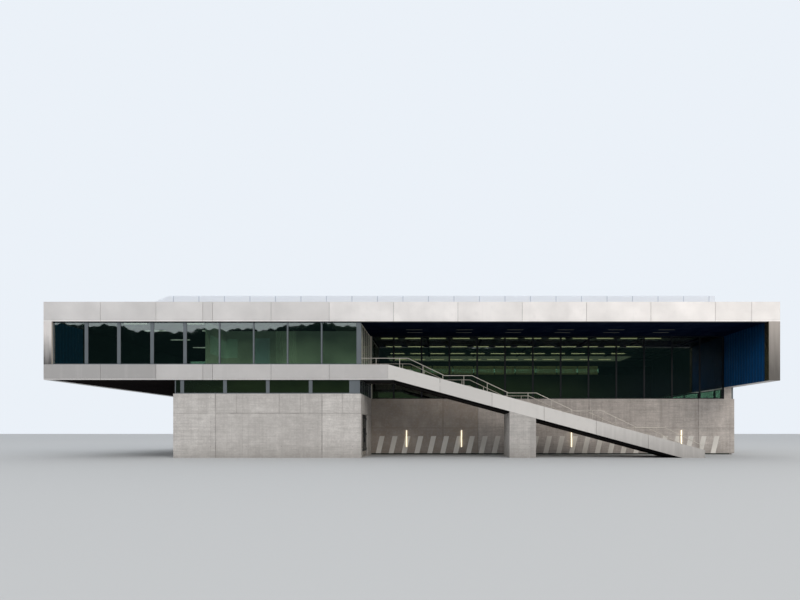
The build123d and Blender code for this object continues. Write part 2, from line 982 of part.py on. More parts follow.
def wall_lamps():
    """Upright tube lamps on the recessed concrete wall."""
    lamps = []
    z0 = wall_lamp_base
    z1 = z0 + wall_lamp_height
    half = wall_lamp_plate / 2
    y_plate = y_glass - wall_lamp_plate_depth
    y = y_plate - wall_lamp_radius + wall_lamp_sink
    first = x_block_right + wall_lamp_first
    for x in repeated(first, x_right - wall_lamp_end_gap, wall_lamp_spacing):
        plate = block(x - half, x + half, y_plate, y_glass, z0, z1)
        lamps.append(joined([plate, tube((x, y, z0), (x, y, z1), wall_lamp_radius)]))
    return group(lamps)


def soffit_lamps():
    """Pairs of slim lamps under the loggia's ceiling."""
    lamps = []
    first = x_block_right + soffit_lamp_first
    for row in soffit_lamp_rows:
        y = y_front + row
        for x in repeated(first, x_inner_right - soffit_lamp_end_gap, soffit_lamp_spacing):
            lamps.append(
                block(
                    x - soffit_lamp_length / 2,
                    x + soffit_lamp_length / 2,
                    y - soffit_lamp_width / 2,
                    y + soffit_lamp_width / 2,
                    z_head - soffit_lamp_depth,
                    z_head,
                )
            )
    return group(lamps)


def lamp_tracks():
    """Long lamp tracks under the ceiling of the hall."""
    tracks = []
    x0 = x_block_right + track_end_gap
    x1 = x_inner_right - track_end_gap
    z0 = z_roof - track_height
    y_first = y_glass + track_front_gap
    spacing = (y_rear_wall - track_rear_gap - y_first) / (track_count - 1)
    for number in range(track_count):
        y = y_first + number * spacing
        tracks.append(block(x0, x1, y - track_width / 2, y + track_width / 2, z0, z_roof))
    return group(tracks)


nodes = {
    "ground_floors": ground_floors(),
    "block_front_wall": block_front_wall(),
    "block_left_wall": block_left_wall(),
    "return_walls": return_walls(),
    "return_lintel": return_lintel(),
    "hall_front_wall": hall_front_wall(),
    "right_plinth_wall": right_plinth_wall(),
    "rear_plinth_wall": rear_plinth_wall(),
    "hall_left_walls": hall_left_walls(),
    "corner_piers": corner_piers(),
    "strip_window_frames": strip_frames(),
    "strip_window_glass": strip_glass(),
    "upper_window_frames": upper_window_frames(),
    "upper_window_glass": upper_window_glass(),
    "hall_glazing_frames": hall_glazing_frames(),
    "hall_glazing": hall_glazing(),
    "upper_floor_slab": upper_floor_slab(),
    "overhang_soffit": overhang_soffit(),
    "window_upstands": window_upstands(),
    "hall_rear_wall": hall_rear_wall(),
    "upper_fascia_panels": upper_fascia_panels(),
    "lower_fascia_panels": lower_fascia_panels(),
    "end_panels": end_panels(),
    "left_end_wall": left_end_wall(),
    "right_end_wall": right_end_wall(),
    "blue_linings": blue_linings(),
    "parapets": parapets(),
    "loggia_soffit": loggia_soffit(),
    "roof_deck": roof_deck(),
    "roof_curb": roof_curb(),
    "roof_trusses": roof_trusses(),
    "lantern_glazing": lantern_glazing(),
    "stair_top_landing": top_landing(),
    "stair_outer_cladding": stair_outer_cladding(),
    "stair_inner_cladding": stair_inner_cladding(),
    "stair_pier": stair_pier(),
    "outer_guard": outer_guard(),
    "inner_guard": inner_guard(),
    "door_jambs": door_jambs(),
    "door_head": door_head(),
    "door_threshold": door_threshold(),
    "front_door_leaf": door_leaf(y_hinge_front, 1),
    "rear_door_leaf": door_leaf(y_hinge_rear, -1),
    "front_door_light": light_box(y_hinge_front, 1, light_glass),
    "rear_door_light": light_box(y_hinge_rear, -1, light_glass),
    "wall_lamps": wall_lamps(),
    "soffit_lamps": soffit_lamps(),
    "lamp_tracks": lamp_tracks(),
}
for number in range(flight_count):
    nodes[f"stair_flight_{number + 1}"] = stair_flight(number)

os.makedirs("parts", exist_ok=True)
for name, shape in nodes.items():
    export_step(shape, f"parts/{name}.step")
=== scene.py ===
"""Finishes, trims and fittings of the sports hall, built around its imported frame."""

import logging
import math
import random
from collections.abc import Callable, Iterator, Sequence
from dataclasses import dataclass, replace
from enum import Enum
from functools import reduce

import bmesh
import bpy
from mathutils import Matrix, Vector


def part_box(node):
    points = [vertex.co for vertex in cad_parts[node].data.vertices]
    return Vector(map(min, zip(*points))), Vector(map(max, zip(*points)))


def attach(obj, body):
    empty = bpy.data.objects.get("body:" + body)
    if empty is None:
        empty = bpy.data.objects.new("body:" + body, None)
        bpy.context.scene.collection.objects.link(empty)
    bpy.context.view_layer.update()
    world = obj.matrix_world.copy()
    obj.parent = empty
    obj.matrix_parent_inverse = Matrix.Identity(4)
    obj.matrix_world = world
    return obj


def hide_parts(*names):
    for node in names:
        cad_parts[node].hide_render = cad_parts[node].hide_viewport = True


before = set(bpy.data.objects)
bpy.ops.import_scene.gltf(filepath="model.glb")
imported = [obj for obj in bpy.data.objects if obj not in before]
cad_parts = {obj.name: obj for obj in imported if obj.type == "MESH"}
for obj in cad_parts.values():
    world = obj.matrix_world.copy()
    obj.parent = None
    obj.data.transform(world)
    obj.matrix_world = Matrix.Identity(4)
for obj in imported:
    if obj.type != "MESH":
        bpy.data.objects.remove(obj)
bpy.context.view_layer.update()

Triple = tuple[float, float, float]
Color = Triple
Place = Sequence[float]
Pair = tuple[float, float]
Pairs = tuple[Pair, ...]
Socket = bpy.types.NodeSocket
Value = Socket | float
Tint = Socket | Color
Inputs = dict[str | int, Value | Tint]
Layer = tuple[Value, Value, Tint]

FACING_FROM = 0.4
CORNERS = 4
ROUND_TO = 35.0
ROW_DIGITS = 3


class Body(Enum):
    """The bodies that a piece may ride on."""

    BUILDING = "building"
    FRONT_LEAF = "front_leaf"
    REAR_LEAF = "rear_leaf"


class Axis(Enum):
    """Directions of the shared frame."""

    X = 0
    Y = 1
    Z = 2

    def run(self, length: float) -> Vector:
        """A vector of that length along the axis."""
        return Vector([length if axis is self else 0.0 for axis in Axis])


class Slot(Enum):
    """Material slots."""

    CONCRETE = "concrete"
    STAIR = "stair_concrete"
    STEEL = "stainless"
    TUBE = "polished_tube"
    FRAME = "frame_paint"
    DARK_FRAME = "dark_frame_paint"
    NAVY = "navy_paint"
    BLUE = "blue_sheet"
    TRUSS = "truss_paint"
    GLASS = "tinted_glass"
    SHEET = "translucent_sheet"
    ROOF = "roofing"
    WARM_LAMP = "warm_lamp"
    DIM_LAMP = "dim_lamp"


def shade(red: int, green: int, blue: int) -> Color:
    """A screen colour with parts from 0 to 255, as the linear values that shaders take."""
    parts = [part / 255 for part in (red, green, blue)]
    return tuple(part / 12.92 if part <= 0.04045 else ((part + 0.055) / 1.055) ** 2.4 for part in parts)


def scaled(color: Color, factor: float) -> Color:
    """A colour made darker or lighter."""
    return tuple(part * factor for part in color)


def steps(start: float, end: float, pitch: float) -> Iterator[float]:
    """Places in a row.

    Args:
        start: The first place.
        end: Where the row ends at the latest.
        pitch: Distance between two places.

    Returns:
        The places that lie before the end.
    """
    while start < end:
        yield start
        start += pitch


class Graph:
    """Adds and links the nodes of one shader tree."""

    def __init__(self, tree: bpy.types.NodeTree) -> None:
        """Keeps the tree."""
        self.tree = tree

    def node(self, kind: str, inputs: Inputs | None = None, **settings: object) -> bpy.types.Node:
        """Adds a node.

        Args:
            kind: Type name of the node, without ShaderNode in front where it has that.
            inputs: Values or sockets for its inputs, by name or number.
            **settings: Properties of the node itself.

        Returns:
            The new node.
        """
        made = self.tree.nodes.new(kind if kind.startswith("Node") else f"ShaderNode{kind}")
        for key, value in settings.items():
            setattr(made, key, value)
        self.feed(made, inputs or {})
        return made

    def feed(self, node: bpy.types.Node, inputs: Inputs) -> None:
        """Links a node's inputs to sockets, or sets their values.

        Args:
            node: The node.
            inputs: Values or sockets, by name or number of the input.
        """
        for key, value in inputs.items():
            socket = node.inputs[key]
            if isinstance(value, Socket):
                self.tree.links.new(value, socket)
            else:
                socket.default_value = (*value, 1.0) if socket.type == "RGBA" else value

    def math(self, operation: str, first: Value, second: Value = 0.0) -> Socket:
        """Adds a Math node and returns its output."""
        return self.node("Math", {0: first, 1: second}, operation=operation).outputs[0]

    def times(self, first: Value, second: Value) -> Socket:
        """The product of two values."""
        return self.math("MULTIPLY", first, second)

    def most(self, first: Value, *others: Value) -> Socket:
        """The largest of some values."""
        return reduce(lambda one, other: self.math("MAXIMUM", one, other), others, first)

    def span(self, value: Value, low: Value, high: Value, start: float = 0.0, end: float = 1.0) -> Socket:
        """Maps low to high onto start to end, without going past them, and returns the output."""
        inputs = {"Value": value, "From Min": low, "From Max": high, "To Min": start, "To Max": end}
        return self.node("MapRange", inputs).outputs["Result"]

    def blend(self, share: Value, first: Tint, second: Tint) -> Socket:
        """Mixes two colours and returns the result."""
        return self.node("Mix", {0: share, 6: first, 7: second}, data_type="RGBA").outputs[2]

    def layered(self, color: Tint, *layers: Layer) -> Socket:
        """Lays colours over each other.

        Args:
            color: The lowest colour.
            *layers: For each one above it, its mask, how far it covers there, and its colour.

        Returns:
            The mixed colour.
        """
        for mask, share, over in layers:
            color = self.blend(self.times(mask, share), color, over)
        return color

    def facing(self, axis: Axis, side: float) -> Socket:
        """1 where a face looks along an axis, or against it if side is -1, else 0."""
        normal = self.node("SeparateXYZ", {0: self.node("NewGeometry").outputs["True Normal"]})
        return self.math("GREATER_THAN", self.times(normal.outputs[axis.value], side), FACING_FROM)

    def near(self, value: Value, places: Sequence[float], reach: float) -> Socket:
        """A mask that is 1 where the value is at one of the places, and 0 from that reach on."""
        away = [self.math("ABSOLUTE", self.math("SUBTRACT", value, place)) for place in places]
        return self.most(*(self.span(distance, 0.0, reach, 1.0, 0.0) for distance in away))

    def place(self) -> Socket:
        """Object coordinates, which are the shared frame's own."""
        return self.node("TexCoord").outputs["Object"]

    def along(self, axis: Axis) -> Socket:
        """The place along an axis."""
        return self.node("SeparateXYZ", {0: self.place()}).outputs[axis.value]

    def noise(self, scale: Value, detail: float, stretch: Place | None = None) -> Socket:
        """Adds a noise texture.

        Args:
            scale: Its scale.
            detail: Its detail.
            stretch: Factors on the coordinates, where they aren't taken as they are.

        Returns:
            Its value.
        """
        where = self.place()
        if stretch:
            where = self.node("VectorMath", {0: where, 1: stretch}, operation="MULTIPLY").outputs[0]
        return self.node("TexNoise", {"Vector": where, "Scale": scale, "Detail": detail}).outputs["Fac"]

    def bump(self, height: Value, strength: Value, depth: Value) -> Socket:
        """A normal that follows a height."""
        inputs = {"Strength": strength, "Distance": depth, "Height": height}
        return self.node("Bump", inputs).outputs[0]

    def shared(self, name: str, **inputs: Value) -> Socket:
        """Places a shared node group with its inputs and returns its only output."""
        return self.node("Group", inputs, node_tree=bpy.data.node_groups[name]).outputs[0]


class Paint(Graph):
    """The graph of one material, with its shader."""

    def __init__(self, material: bpy.types.Material) -> None:
        """Starts the material's nodes.

        Args:
            material: The material.
        """
        material.use_nodes = True
        super().__init__(material.node_tree)
        self.shader = self.tree.nodes["Principled BSDF"]

    def give(self, inputs: Inputs) -> None:
        """Sets or links inputs of the shader."""
        self.feed(self.shader, inputs)

    def cover(self, layer: Layer) -> None:
        """Lays a colour over what is linked to the base colour."""
        below = self.shader.inputs["Base Color"].links[0].from_socket
        self.give({"Base Color": self.layered(below, layer)})


class Effect(Graph):
    """A shader effect that several finishes use, as a node group that is built once."""

    def __init__(self, draw: Callable[["Effect"], Socket], kind: str = "Float", **inputs: float) -> None:
        """Builds the group that a method draws, under the method's name.

        Args:
            draw: The method.
            kind: Kind of the group's output.
            **inputs: The group's inputs with their usual values.
        """
        super().__init__(bpy.data.node_groups.new(draw.__name__, "ShaderNodeTree"))
        for key, value in inputs.items():
            socket = self.tree.interface.new_socket(key, in_out="INPUT", socket_type="NodeSocketFloat")
            socket.default_value = value
        self.tree.interface.new_socket("Result", in_out="OUTPUT", socket_type=f"NodeSocket{kind}")
        self.given = self.node("NodeGroupInput").outputs
        self.node("NodeGroupOutput", {0: draw(self)})

    @classmethod
    def build_all(cls) -> None:
        """Builds all the groups."""
        row = {"AlongX": 0.0, "AlongY": 1.0, "Start": 0.0, "Pitch": 1.0}
        cls(cls.blotches, Scale=1.0, Low=0.35, High=0.65)
        cls(cls.run_marks, Scale=6.0, Low=0.5, High=0.75)
        cls(cls.ground_dirt, Level=0.0, Height=0.5, Wobble=0.3)
        cls(cls.pits, Scale=14.0, Size=0.06)
        cls(cls.panel_steps, **row)
        cls(cls.panel_lines, **row, Width=0.01)
        cls(cls.tie_holes, Pitch=1.24, Rise=0.86, Start=0.0, Foot=0.4, Radius=0.011)
        cls(cls.grain, "Vector", Scale=90.0, Waves=1.5, Strength=0.2, Depth=0.002)

    def blotches(self) -> Socket:
        """Soft cloudy patches, from 0 to 1."""
        value = self.noise(self.given["Scale"], detail=5.0)
        return self.span(value, self.given["Low"], self.given["High"])

    def run_marks(self) -> Socket:
        """Narrow marks that run down the surface, from 0 to 1."""
        value = self.noise(self.given["Scale"], detail=4.0, stretch=(1.0, 1.0, 0.07))
        return self.span(value, self.given["Low"], self.given["High"])

    def ground_dirt(self) -> Socket:
        """Dirt that fades upwards from a level, from 1 to 0.

        Returns:
            The mask.
        """
        ragged = self.math("SUBTRACT", self.noise(scale=2.3, detail=4.0), 0.5)
        lifted = self.math("SUBTRACT", self.along(Axis.Z), self.given["Level"])
        raised = self.math("ADD", lifted, self.times(ragged, self.given["Wobble"]))
        return self.span(self.math("DIVIDE", raised, self.given["Height"]), 0.0, 1.0, 1.0, 0.0)

    def pits(self) -> Socket:
        """Small scattered holes of cast concrete, 1 in a hole.

        Returns:
            The mask.
        """
        cells = self.node("TexVoronoi", {"Vector": self.place(), "Scale": self.given["Scale"]})
        chance = self.node("SeparateColor", {0: cells.outputs["Color"]}).outputs[0]
        reach = self.times(self.given["Size"], self.span(chance, 0.5, 1.0))
        return self.math("LESS_THAN", cells.outputs["Distance"], reach)

    def row(self) -> Socket:
        """How far a place is along a row of panels.

        Returns:
            The distance from the row's start.
        """
        along_x = self.times(self.along(Axis.X), self.given["AlongX"])
        along_y = self.times(self.along(Axis.Y), self.given["AlongY"])
        return self.math("SUBTRACT", self.math("ADD", along_x, along_y), self.given["Start"])

    def panel_steps(self) -> Socket:
        """A tone for each panel of a row with a regular pitch, from 0 to 1."""
        number = self.math("FLOOR", self.math("DIVIDE", self.row(), self.given["Pitch"]))
        return self.node("TexWhiteNoise", {"W": number}, noise_dimensions="1D").outputs["Value"]

    def panel_lines(self) -> Socket:
        """Joints between the panels of a row with a regular pitch, 1 in a joint."""
        away = self.math("PINGPONG", self.row(), self.times(self.given["Pitch"], 0.5))
        return self.math("LESS_THAN", away, self.times(self.given["Width"], 0.5))

    def tie_holes(self) -> Socket:
        """Holes of the formwork ties of walls along X, 1 in a hole.

        Returns:
            The mask.
        """
        squares = []
        for axis, start, pitch in ((Axis.X, "Start", "Pitch"), (Axis.Z, "Foot", "Rise")):
            run = self.math("SUBTRACT", self.along(axis), self.given[start])
            offset = self.math("PINGPONG", run, self.times(self.given[pitch], 0.5))
            squares.append(self.math("POWER", offset, 2.0))
        away = self.math("SQRT", self.math("ADD", *squares))
        inner = self.times(self.given["Radius"], 0.8)
        return self.span(away, inner, self.given["Radius"], 1.0, 0.0)

    def grain(self) -> Socket:
        """A normal with fine grain over soft waves.

        Returns:
            The normal.
        """
        soft = self.times(self.noise(self.given["Waves"], detail=2.0), 2.0)
        height = self.math("ADD", self.noise(self.given["Scale"], detail=3.0), soft)
        return self.bump(height, self.given["Strength"], self.given["Depth"])


@dataclass(frozen=True)
class Marks:
    """Soft patches over a surface.

    Attributes:
        scale: Scale of the noise that draws them.
        low: The noise at which they start.
        high: The noise at which they are full.
        share: How far they cover.
        factor: How much lighter or darker a colour is there.
        effect: The shared effect.
    """

    scale: float
    low: float = 0.35
    high: float = 0.65
    share: float = 1.0
    factor: float = 1.0
    effect: str = "blotches"

    def mask(self, graph: Graph) -> Socket:
        """Where they lie, from 0 to 1."""
        return graph.shared(self.effect, Scale=self.scale, Low=self.low, High=self.high)

    def layer(self, graph: Graph, color: Color) -> Layer:
        """Mask, share and colour of the layer that they make."""
        return self.mask(graph), self.share, scaled(color, self.factor)


@dataclass(frozen=True)
class Runs(Marks):
    """Narrow marks that run down a surface."""

    low: float = 0.5
    high: float = 0.75
    effect: str = "run_marks"


@dataclass(frozen=True)
class Streaks:
    """Marks that are long one way: their stretch, where they start and are full, and how far they cover."""

    stretch: Triple
    low: float
    high: float
    share: float

    def mask(self, graph: Graph) -> Socket:
        """How far they cover."""
        drawn = graph.noise(scale=2.0, detail=4.0, stretch=self.stretch)
        return graph.span(drawn, self.low, self.high, 0.0, self.share)


DUST = Marks(1.7, factor=0.86)
DUSTY_ROUGHNESS = (0.9, 1.12)
UNEVEN_LIGHT = Marks(0.9)


@dataclass(frozen=True)
class Finish:
    """A plain painted or moulded surface with fine grain and light dust.

    Attributes:
        glow: Light that the surface gives off by itself.
        mirror: Strength of its mirror image.
    """

    name: str
    slot: Slot
    color: Color
    roughness: float = 0.5
    metallic: float = 0.0
    grain: float = 0.08
    glow: float = 0.0
    mirror: float = 0.5

    def material(self) -> bpy.types.Material:
        """The finish's material, built at its first use.

        Returns:
            The material.
        """
        if self.name in bpy.data.materials:
            return bpy.data.materials[self.name]
        made = bpy.data.materials.new(self.name)
        paint = Paint(made)
        paint.give({"Metallic": self.metallic, "Roughness": self.roughness})
        paint.give({"Specular IOR Level": self.mirror})
        if self.glow > 0:
            paint.give({"Emission Color": self.color, "Emission Strength": self.glow})
        self.dress(paint)
        return made

    def dress(self, paint: Paint) -> None:
        """Links the surface detail.

        Args:
            paint: The material's paint.
        """
        dust = DUST.mask(paint)
        smooth, dusty = (min(1.0, self.roughness * part) for part in DUSTY_ROUGHNESS)
        rough = paint.span(dust, 0.0, 1.0, smooth, dusty)
        color = paint.blend(dust, self.color, scaled(self.color, DUST.factor))
        normal = paint.shared("grain", Strength=self.grain)
        paint.give({"Base Color": color, "Roughness": rough, "Normal": normal})


@dataclass(frozen=True)
class LitWall(Finish):
    """An inner surface with painted light: it glows by itself, more towards the floor, as if lamps lit it.

    Attributes:
        top: Height where it is darkest.
        foot: Height where it is brightest.
        top_share: Share of the light that is left at the top.
        foot_color: Colour of the painted light at the foot.
        uneven: How far the light's edge wanders in height.
    """

    top: float = 4.5
    foot: float = 3.3
    top_share: float = 0.4
    foot_color: Color = (0.6, 0.64, 0.48)
    uneven: float = 0.5

    def dress(self, paint: Paint) -> None:
        """Links the surface detail and the uneven painted light.

        Args:
            paint: The material's paint.
        """
        super().dress(paint)
        uneven = paint.times(UNEVEN_LIGHT.mask(paint), self.uneven)
        height = paint.math("SUBTRACT", paint.along(Axis.Z), uneven)
        low = paint.span(height, self.top - self.uneven / 2, self.foot - self.uneven / 2)
        lit = paint.blend(low, scaled(self.color, self.top_share), self.foot_color)
        paint.give({"Emission Color": lit})


@dataclass(frozen=True)
class CastConcrete(Finish):
    """Cast concrete: clouds, marks of the boards, joints, pits, dirt over the ground, and a darker field that
    is a pour on the block wall and painted shade on the recessed wall.

    Attributes:
        stain: Colour of the darker clouds.
        dirt: Colour of the dirt over the ground.
        dirt_height: How far up the dirt goes, in metres.
        pour_from: Where a darker field starts along X, in metres.
        pour_to: Where it ends.
        pour_share: How much darker it is: a pour on the block, painted shade on the recessed wall.
        pour_color: Its colour.
        seams: Places of the upright joints along X, in metres.
        upper_seams: Places of short joints over the level joint.
        seam_level: Level of the level joint.
        tie_start: Place of one tie hole along X.
    """

    stain: Color = (0.3, 0.28, 0.26)
    dirt: Color = (0.2, 0.19, 0.17)
    dirt_height: float = 0.55
    pour_from: float = 90.0
    pour_to: float = 91.0
    pour_share: float = 0.3
    pour_color: Color = shade(164, 158, 152)
    seams: tuple[float, ...] = (90.0,)
    upper_seams: tuple[float, ...] = (90.0,)
    seam_level: float = -1.0
    tie_start: float = 0.0
    seam_reach: float = 0.03
    upper_reach: float = 0.02
    upper_share: float = 0.6
    level_reach: float = 0.022
    seam_shares: Pair = (0.25, 0.75)
    hole_factor: float = 0.4
    clouds: Marks = Marks(0.55, 0.3, 0.72, 0.5)
    patches: Marks = Marks(2.6, 0.42, 0.7, 0.3, 1.16)
    uneven: Marks = Marks(1.6, 0.3, 0.62, 0.2)
    mottle: Marks = Marks(6.5, 0.36, 0.7, 0.4)
    speckle: Marks = Marks(21.0, 0.42, 0.62, 0.28)
    pale: Marks = Marks(13.0, 0.46, 0.76, 0.34)
    pale_in_pour: float = 0.1
    runs: Runs = Runs(4.0, 0.52, 0.8, 0.6)
    boards: Streaks = Streaks((0.1, 0.1, 9.0), 0.46, 0.68, 0.45)
    strokes: Streaks = Streaks((8.0, 8.0, 0.1), 0.46, 0.7, 0.55)
    dashes: Streaks = Streaks((1.1, 1.1, 17.0), 0.48, 0.68, 0.42)
    dirt_play: float = 0.5
    dirt_share: float = 0.42
    pits_share: float = 0.5
    ties_share: float = 0.75
    rough_play: Pair = (-0.08, 0.05)

    def joints(self, paint: Paint) -> Socket:
        """Joints between the pours, the short ones fainter.

        Args:
            paint: The material's paint.

        Returns:
            The mask.
        """
        along, height = paint.along(Axis.X), paint.along(Axis.Z)
        over = paint.math("GREATER_THAN", height, self.seam_level)
        short = paint.times(paint.near(along, self.upper_seams, self.upper_reach), over)
        long = paint.near(along, self.seams, self.seam_reach)
        level = paint.near(height, (self.seam_level,), self.level_reach)
        return paint.most(long, paint.times(short, self.upper_share), level)

    def pour(self, paint: Paint) -> Socket:
        """How far the darker field covers: a pour on the block, painted shade on the recessed wall.

        Args:
            paint: The material's paint.

        Returns:
            The mask.
        """
        along = paint.along(Axis.X)
        starts = paint.math("GREATER_THAN", along, self.pour_from)
        return paint.times(paint.times(starts, paint.math("LESS_THAN", along, self.pour_to)), self.pour_share)

    def dress(self, paint: Paint) -> None:
        """Links clouds, marks, joints, pits, dirt, the darker field of pour and painted shade, and a rough
        skin.

        Args:
            paint: The material's paint.
        """
        patches, uneven, pour = self.patches.mask(paint), self.uneven.mask(paint), self.pour(paint)
        lighter = scaled(self.color, self.patches.factor)
        worn = paint.span(patches, 0.0, 1.0, *self.seam_shares)
        dirt = paint.shared("ground_dirt", Height=self.dirt_height, Wobble=self.dirt_play)
        ties = paint.shared("tie_holes", Start=self.tie_start)
        color = paint.layered(
            self.color,
            self.clouds.layer(paint, self.stain),
            # Darker field: a pour on the block wall, painted shade under the stair and the loggia on the
            # recessed wall.
            (pour, 1.0, self.pour_color),
            (patches, self.patches.share, lighter),
            (self.boards.mask(paint), uneven, self.stain),
            (self.strokes.mask(paint), uneven, self.stain),
            (uneven, self.uneven.share, self.stain),
            self.mottle.layer(paint, self.stain),
            self.speckle.layer(paint, self.stain),
            (self.pale.mask(paint), paint.span(pour, 0.0, 1.0, self.pale.share, self.pale_in_pour), lighter),
            (self.dashes.mask(paint), 1.0, self.stain),
            (self.joints(paint), worn, scaled(self.stain, self.hole_factor)),
            self.runs.layer(paint, self.stain),
            (dirt, self.dirt_share, self.dirt),
            (paint.shared("pits"), self.pits_share, self.dirt),
            (ties, self.ties_share, scaled(self.dirt, self.hole_factor)),
        )
        rough = paint.span(patches, 0.0, 1.0, *(self.roughness + play for play in self.rough_play))
        normal = paint.shared("grain", Scale=60.0, Strength=0.3)
        paint.give({"Base Color": color, "Roughness": rough, "Normal": normal})


@dataclass(frozen=True)
class SheetSteel(Finish):
    """Blasted stainless sheet in panels that differ a little in tone.

    Attributes:
        spread: How far the tones of the panels lie apart.
        tone_from: The mesh attribute with the tone, or none for a regular row.
        along: Direction of a regular row of panels.
        start: Where a regular row starts, in metres.
        pitch: Width of its panels.
        seam_levels: Levels of the seams of a regular row, in metres.
        joint_width: Width of its joints.
        shade_top: Level where painted shade starts, a painted reflection of darker ground, in metres.
        shade_foot: Level where it is darkest.
        shade_color: Its colour there.
        shade_share: How far that colour covers.
        shade_play: How far the dark foot's edge wanders.
        shade_stretch: Stretch of the streaks at that edge.
    """

    spread: float = 0.12
    tone_from: str = ""
    along: Axis = Axis.X
    start: float = 0.0
    pitch: float = 2.25
    seam_levels: tuple[float, ...] = ()
    joint_width: float = 0.012
    joint_share: float = 0.75
    joint_color: Color = (0.06, 0.06, 0.06)
    shade_top: float = -1.0
    shade_foot: float = -2.0
    shade_color: Color = (0.2, 0.2, 0.19)
    shade_share: float = 0.92
    shade_play: float = 0.9
    shade_stretch: Triple = (6.0, 6.0, 0.4)
    clouds: Marks = Marks(0.9, 0.35, 0.75, 0.35)
    smudges: Marks = Marks(3.4, 0.58, 0.74, 0.22, 0.68)
    runs: Runs = Runs(7.0, 0.55, 0.8, 0.16, 0.72)
    rougher: float = 0.1

    def row(self) -> dict[str, float]:
        """Inputs of the groups that draw a regular row."""
        along_x = float(self.along is Axis.X)
        return {"AlongX": along_x, "AlongY": 1.0 - along_x, "Start": self.start, "Pitch": self.pitch}

    def tone(self, paint: Paint) -> Socket:
        """The panel's tone, from the mesh or from its place in the row.

        Args:
            paint: The material's paint.

        Returns:
            The tone, from 0 to 1.
        """
        if self.tone_from:
            return paint.node("Attribute", attribute_name=self.tone_from).outputs["Fac"]
        return paint.shared("panel_steps", **self.row())

    def darker_foot(self, paint: Paint) -> Socket:
        """How far the painted shade of the foot covers, in streaks.

        Args:
            paint: The material's paint.

        Returns:
            The mask.
        """
        ragged = paint.noise(scale=2.0, detail=4.0, stretch=self.shade_stretch)
        shift = paint.times(paint.math("SUBTRACT", ragged, 0.5), self.shade_play)
        level = paint.math("ADD", paint.along(Axis.Z), shift)
        return paint.span(level, self.shade_foot, self.shade_top, self.shade_share, 0.0)

    def dress(self, paint: Paint) -> None:
        """Links panel tones, hand marks, run marks, painted shade at the foot and a soft blasted grain.

        Args:
            paint: The material's paint.
        """
        clouds = self.clouds.mask(paint)
        low = scaled(self.color, 1.0 - self.spread)
        # On the two bands the mesh tone carries painted light and shade.
        color = paint.layered(
            paint.blend(self.tone(paint), low, self.color),
            (clouds, self.clouds.share, low),
            self.smudges.layer(paint, self.color),
            self.runs.layer(paint, self.color),
        )
        if self.seam_levels:
            upright = paint.shared("panel_lines", Width=self.joint_width, **self.row())
            level = paint.near(paint.along(Axis.Z), self.seam_levels, self.joint_width)
            color = paint.layered(color, (paint.most(upright, level), self.joint_share, self.joint_color))
        # Painted shade towards the foot: a painted reflection of darker ground.
        if self.shade_top > 0:
            color = paint.layered(color, (self.darker_foot(paint), 1.0, self.shade_color))
        rough = paint.span(clouds, 0.0, 1.0, self.roughness, self.roughness + self.rougher)
        normal = paint.shared("grain", Scale=140.0, Waves=0.8, Strength=self.grain, Depth=0.004)
        paint.give({"Base Color": color, "Roughness": rough, "Normal": normal})


@dataclass(frozen=True)
class LinedSteel(SheetSteel):
    """Sheet steel outside, a dark lining on the side that looks into the rooms, its darkness painted shade.

    Attributes:
        lining: Colour of the lining, near-black as painted shade of the dim inside.
        inside: Axis along which the lining looks.
        side: 1 if it looks in the axis's direction, -1 the other way.
        boards: Lighter patches of the lining.
    """

    lining: Color = (0.008, 0.016, 0.022)
    inside: Axis = Axis.Y
    side: float = -1.0
    boards: Marks = Marks(1.3, factor=1.6)

    def dress(self, paint: Paint) -> None:
        """Links the steel and covers the inner faces.

        Args:
            paint: The material's paint.
        """
        super().dress(paint)
        inner = paint.facing(self.inside, self.side)
        # The near-black lining is painted shade of the dim inside.
        paint.cover((inner, 1.0, paint.layered(self.lining, self.boards.layer(paint, self.lining))))
        paint.give({"Metallic": paint.span(inner, 0.0, 1.0, self.metallic, 0.0)})


@dataclass(frozen=True)
class RibbedPaint(Finish):
    """Painted ribbed sheet with painted shade in its grooves and near its top.

    Attributes:
        groove_from: Distance from the middle of the building beyond which the grooves lie.
        groove_factor: How dark the painted shade makes the paint there.
        top_level: Level from which painted shade darkens the paint.
        top_factor: How dark the painted shade is there.
        fade: Height over which the shade begins.
        fade_play: How far that height wanders.
        dark_share: How far both cover.
    """

    groove_from: float = 12.48
    groove_factor: float = 0.4
    top_level: float = 4.6
    top_factor: float = 0.25
    fade: float = 0.9
    fade_play: float = 0.3
    dark_share: float = 0.6

    def dress(self, paint: Paint) -> None:
        """Links the paint, with painted shade in the grooves and near the top.

        Args:
            paint: The material's paint.
        """
        super().dress(paint)
        # Painted shade in the grooves and, below, near the top.
        groove = paint.math("GREATER_THAN", paint.math("ABSOLUTE", paint.along(Axis.X)), self.groove_from)
        paint.cover((groove, self.dark_share, scaled(self.color, self.groove_factor)))
        shift = paint.times(paint.noise(scale=1.2, detail=3.0), self.fade_play)
        level = paint.math("ADD", paint.along(Axis.Z), shift)
        high = paint.span(level, self.top_level - self.fade, self.top_level)
        paint.cover((high, self.dark_share, scaled(self.color, self.top_factor)))


@dataclass(frozen=True)
class Bars(Finish):
    """Frame paint with painted light: lighter up to a place along X, in metres, where the bars catch the
    light.
    """

    light: Color = (0.72, 0.69, 0.58)
    light_to: float = -1.75

    def dress(self, paint: Paint) -> None:
        """Links the paint and its painted light by place."""
        super().dress(paint)
        # Painted light on the bars up to light_to.
        paint.cover((paint.math("LESS_THAN", paint.along(Axis.X), self.light_to), 1.0, self.light))


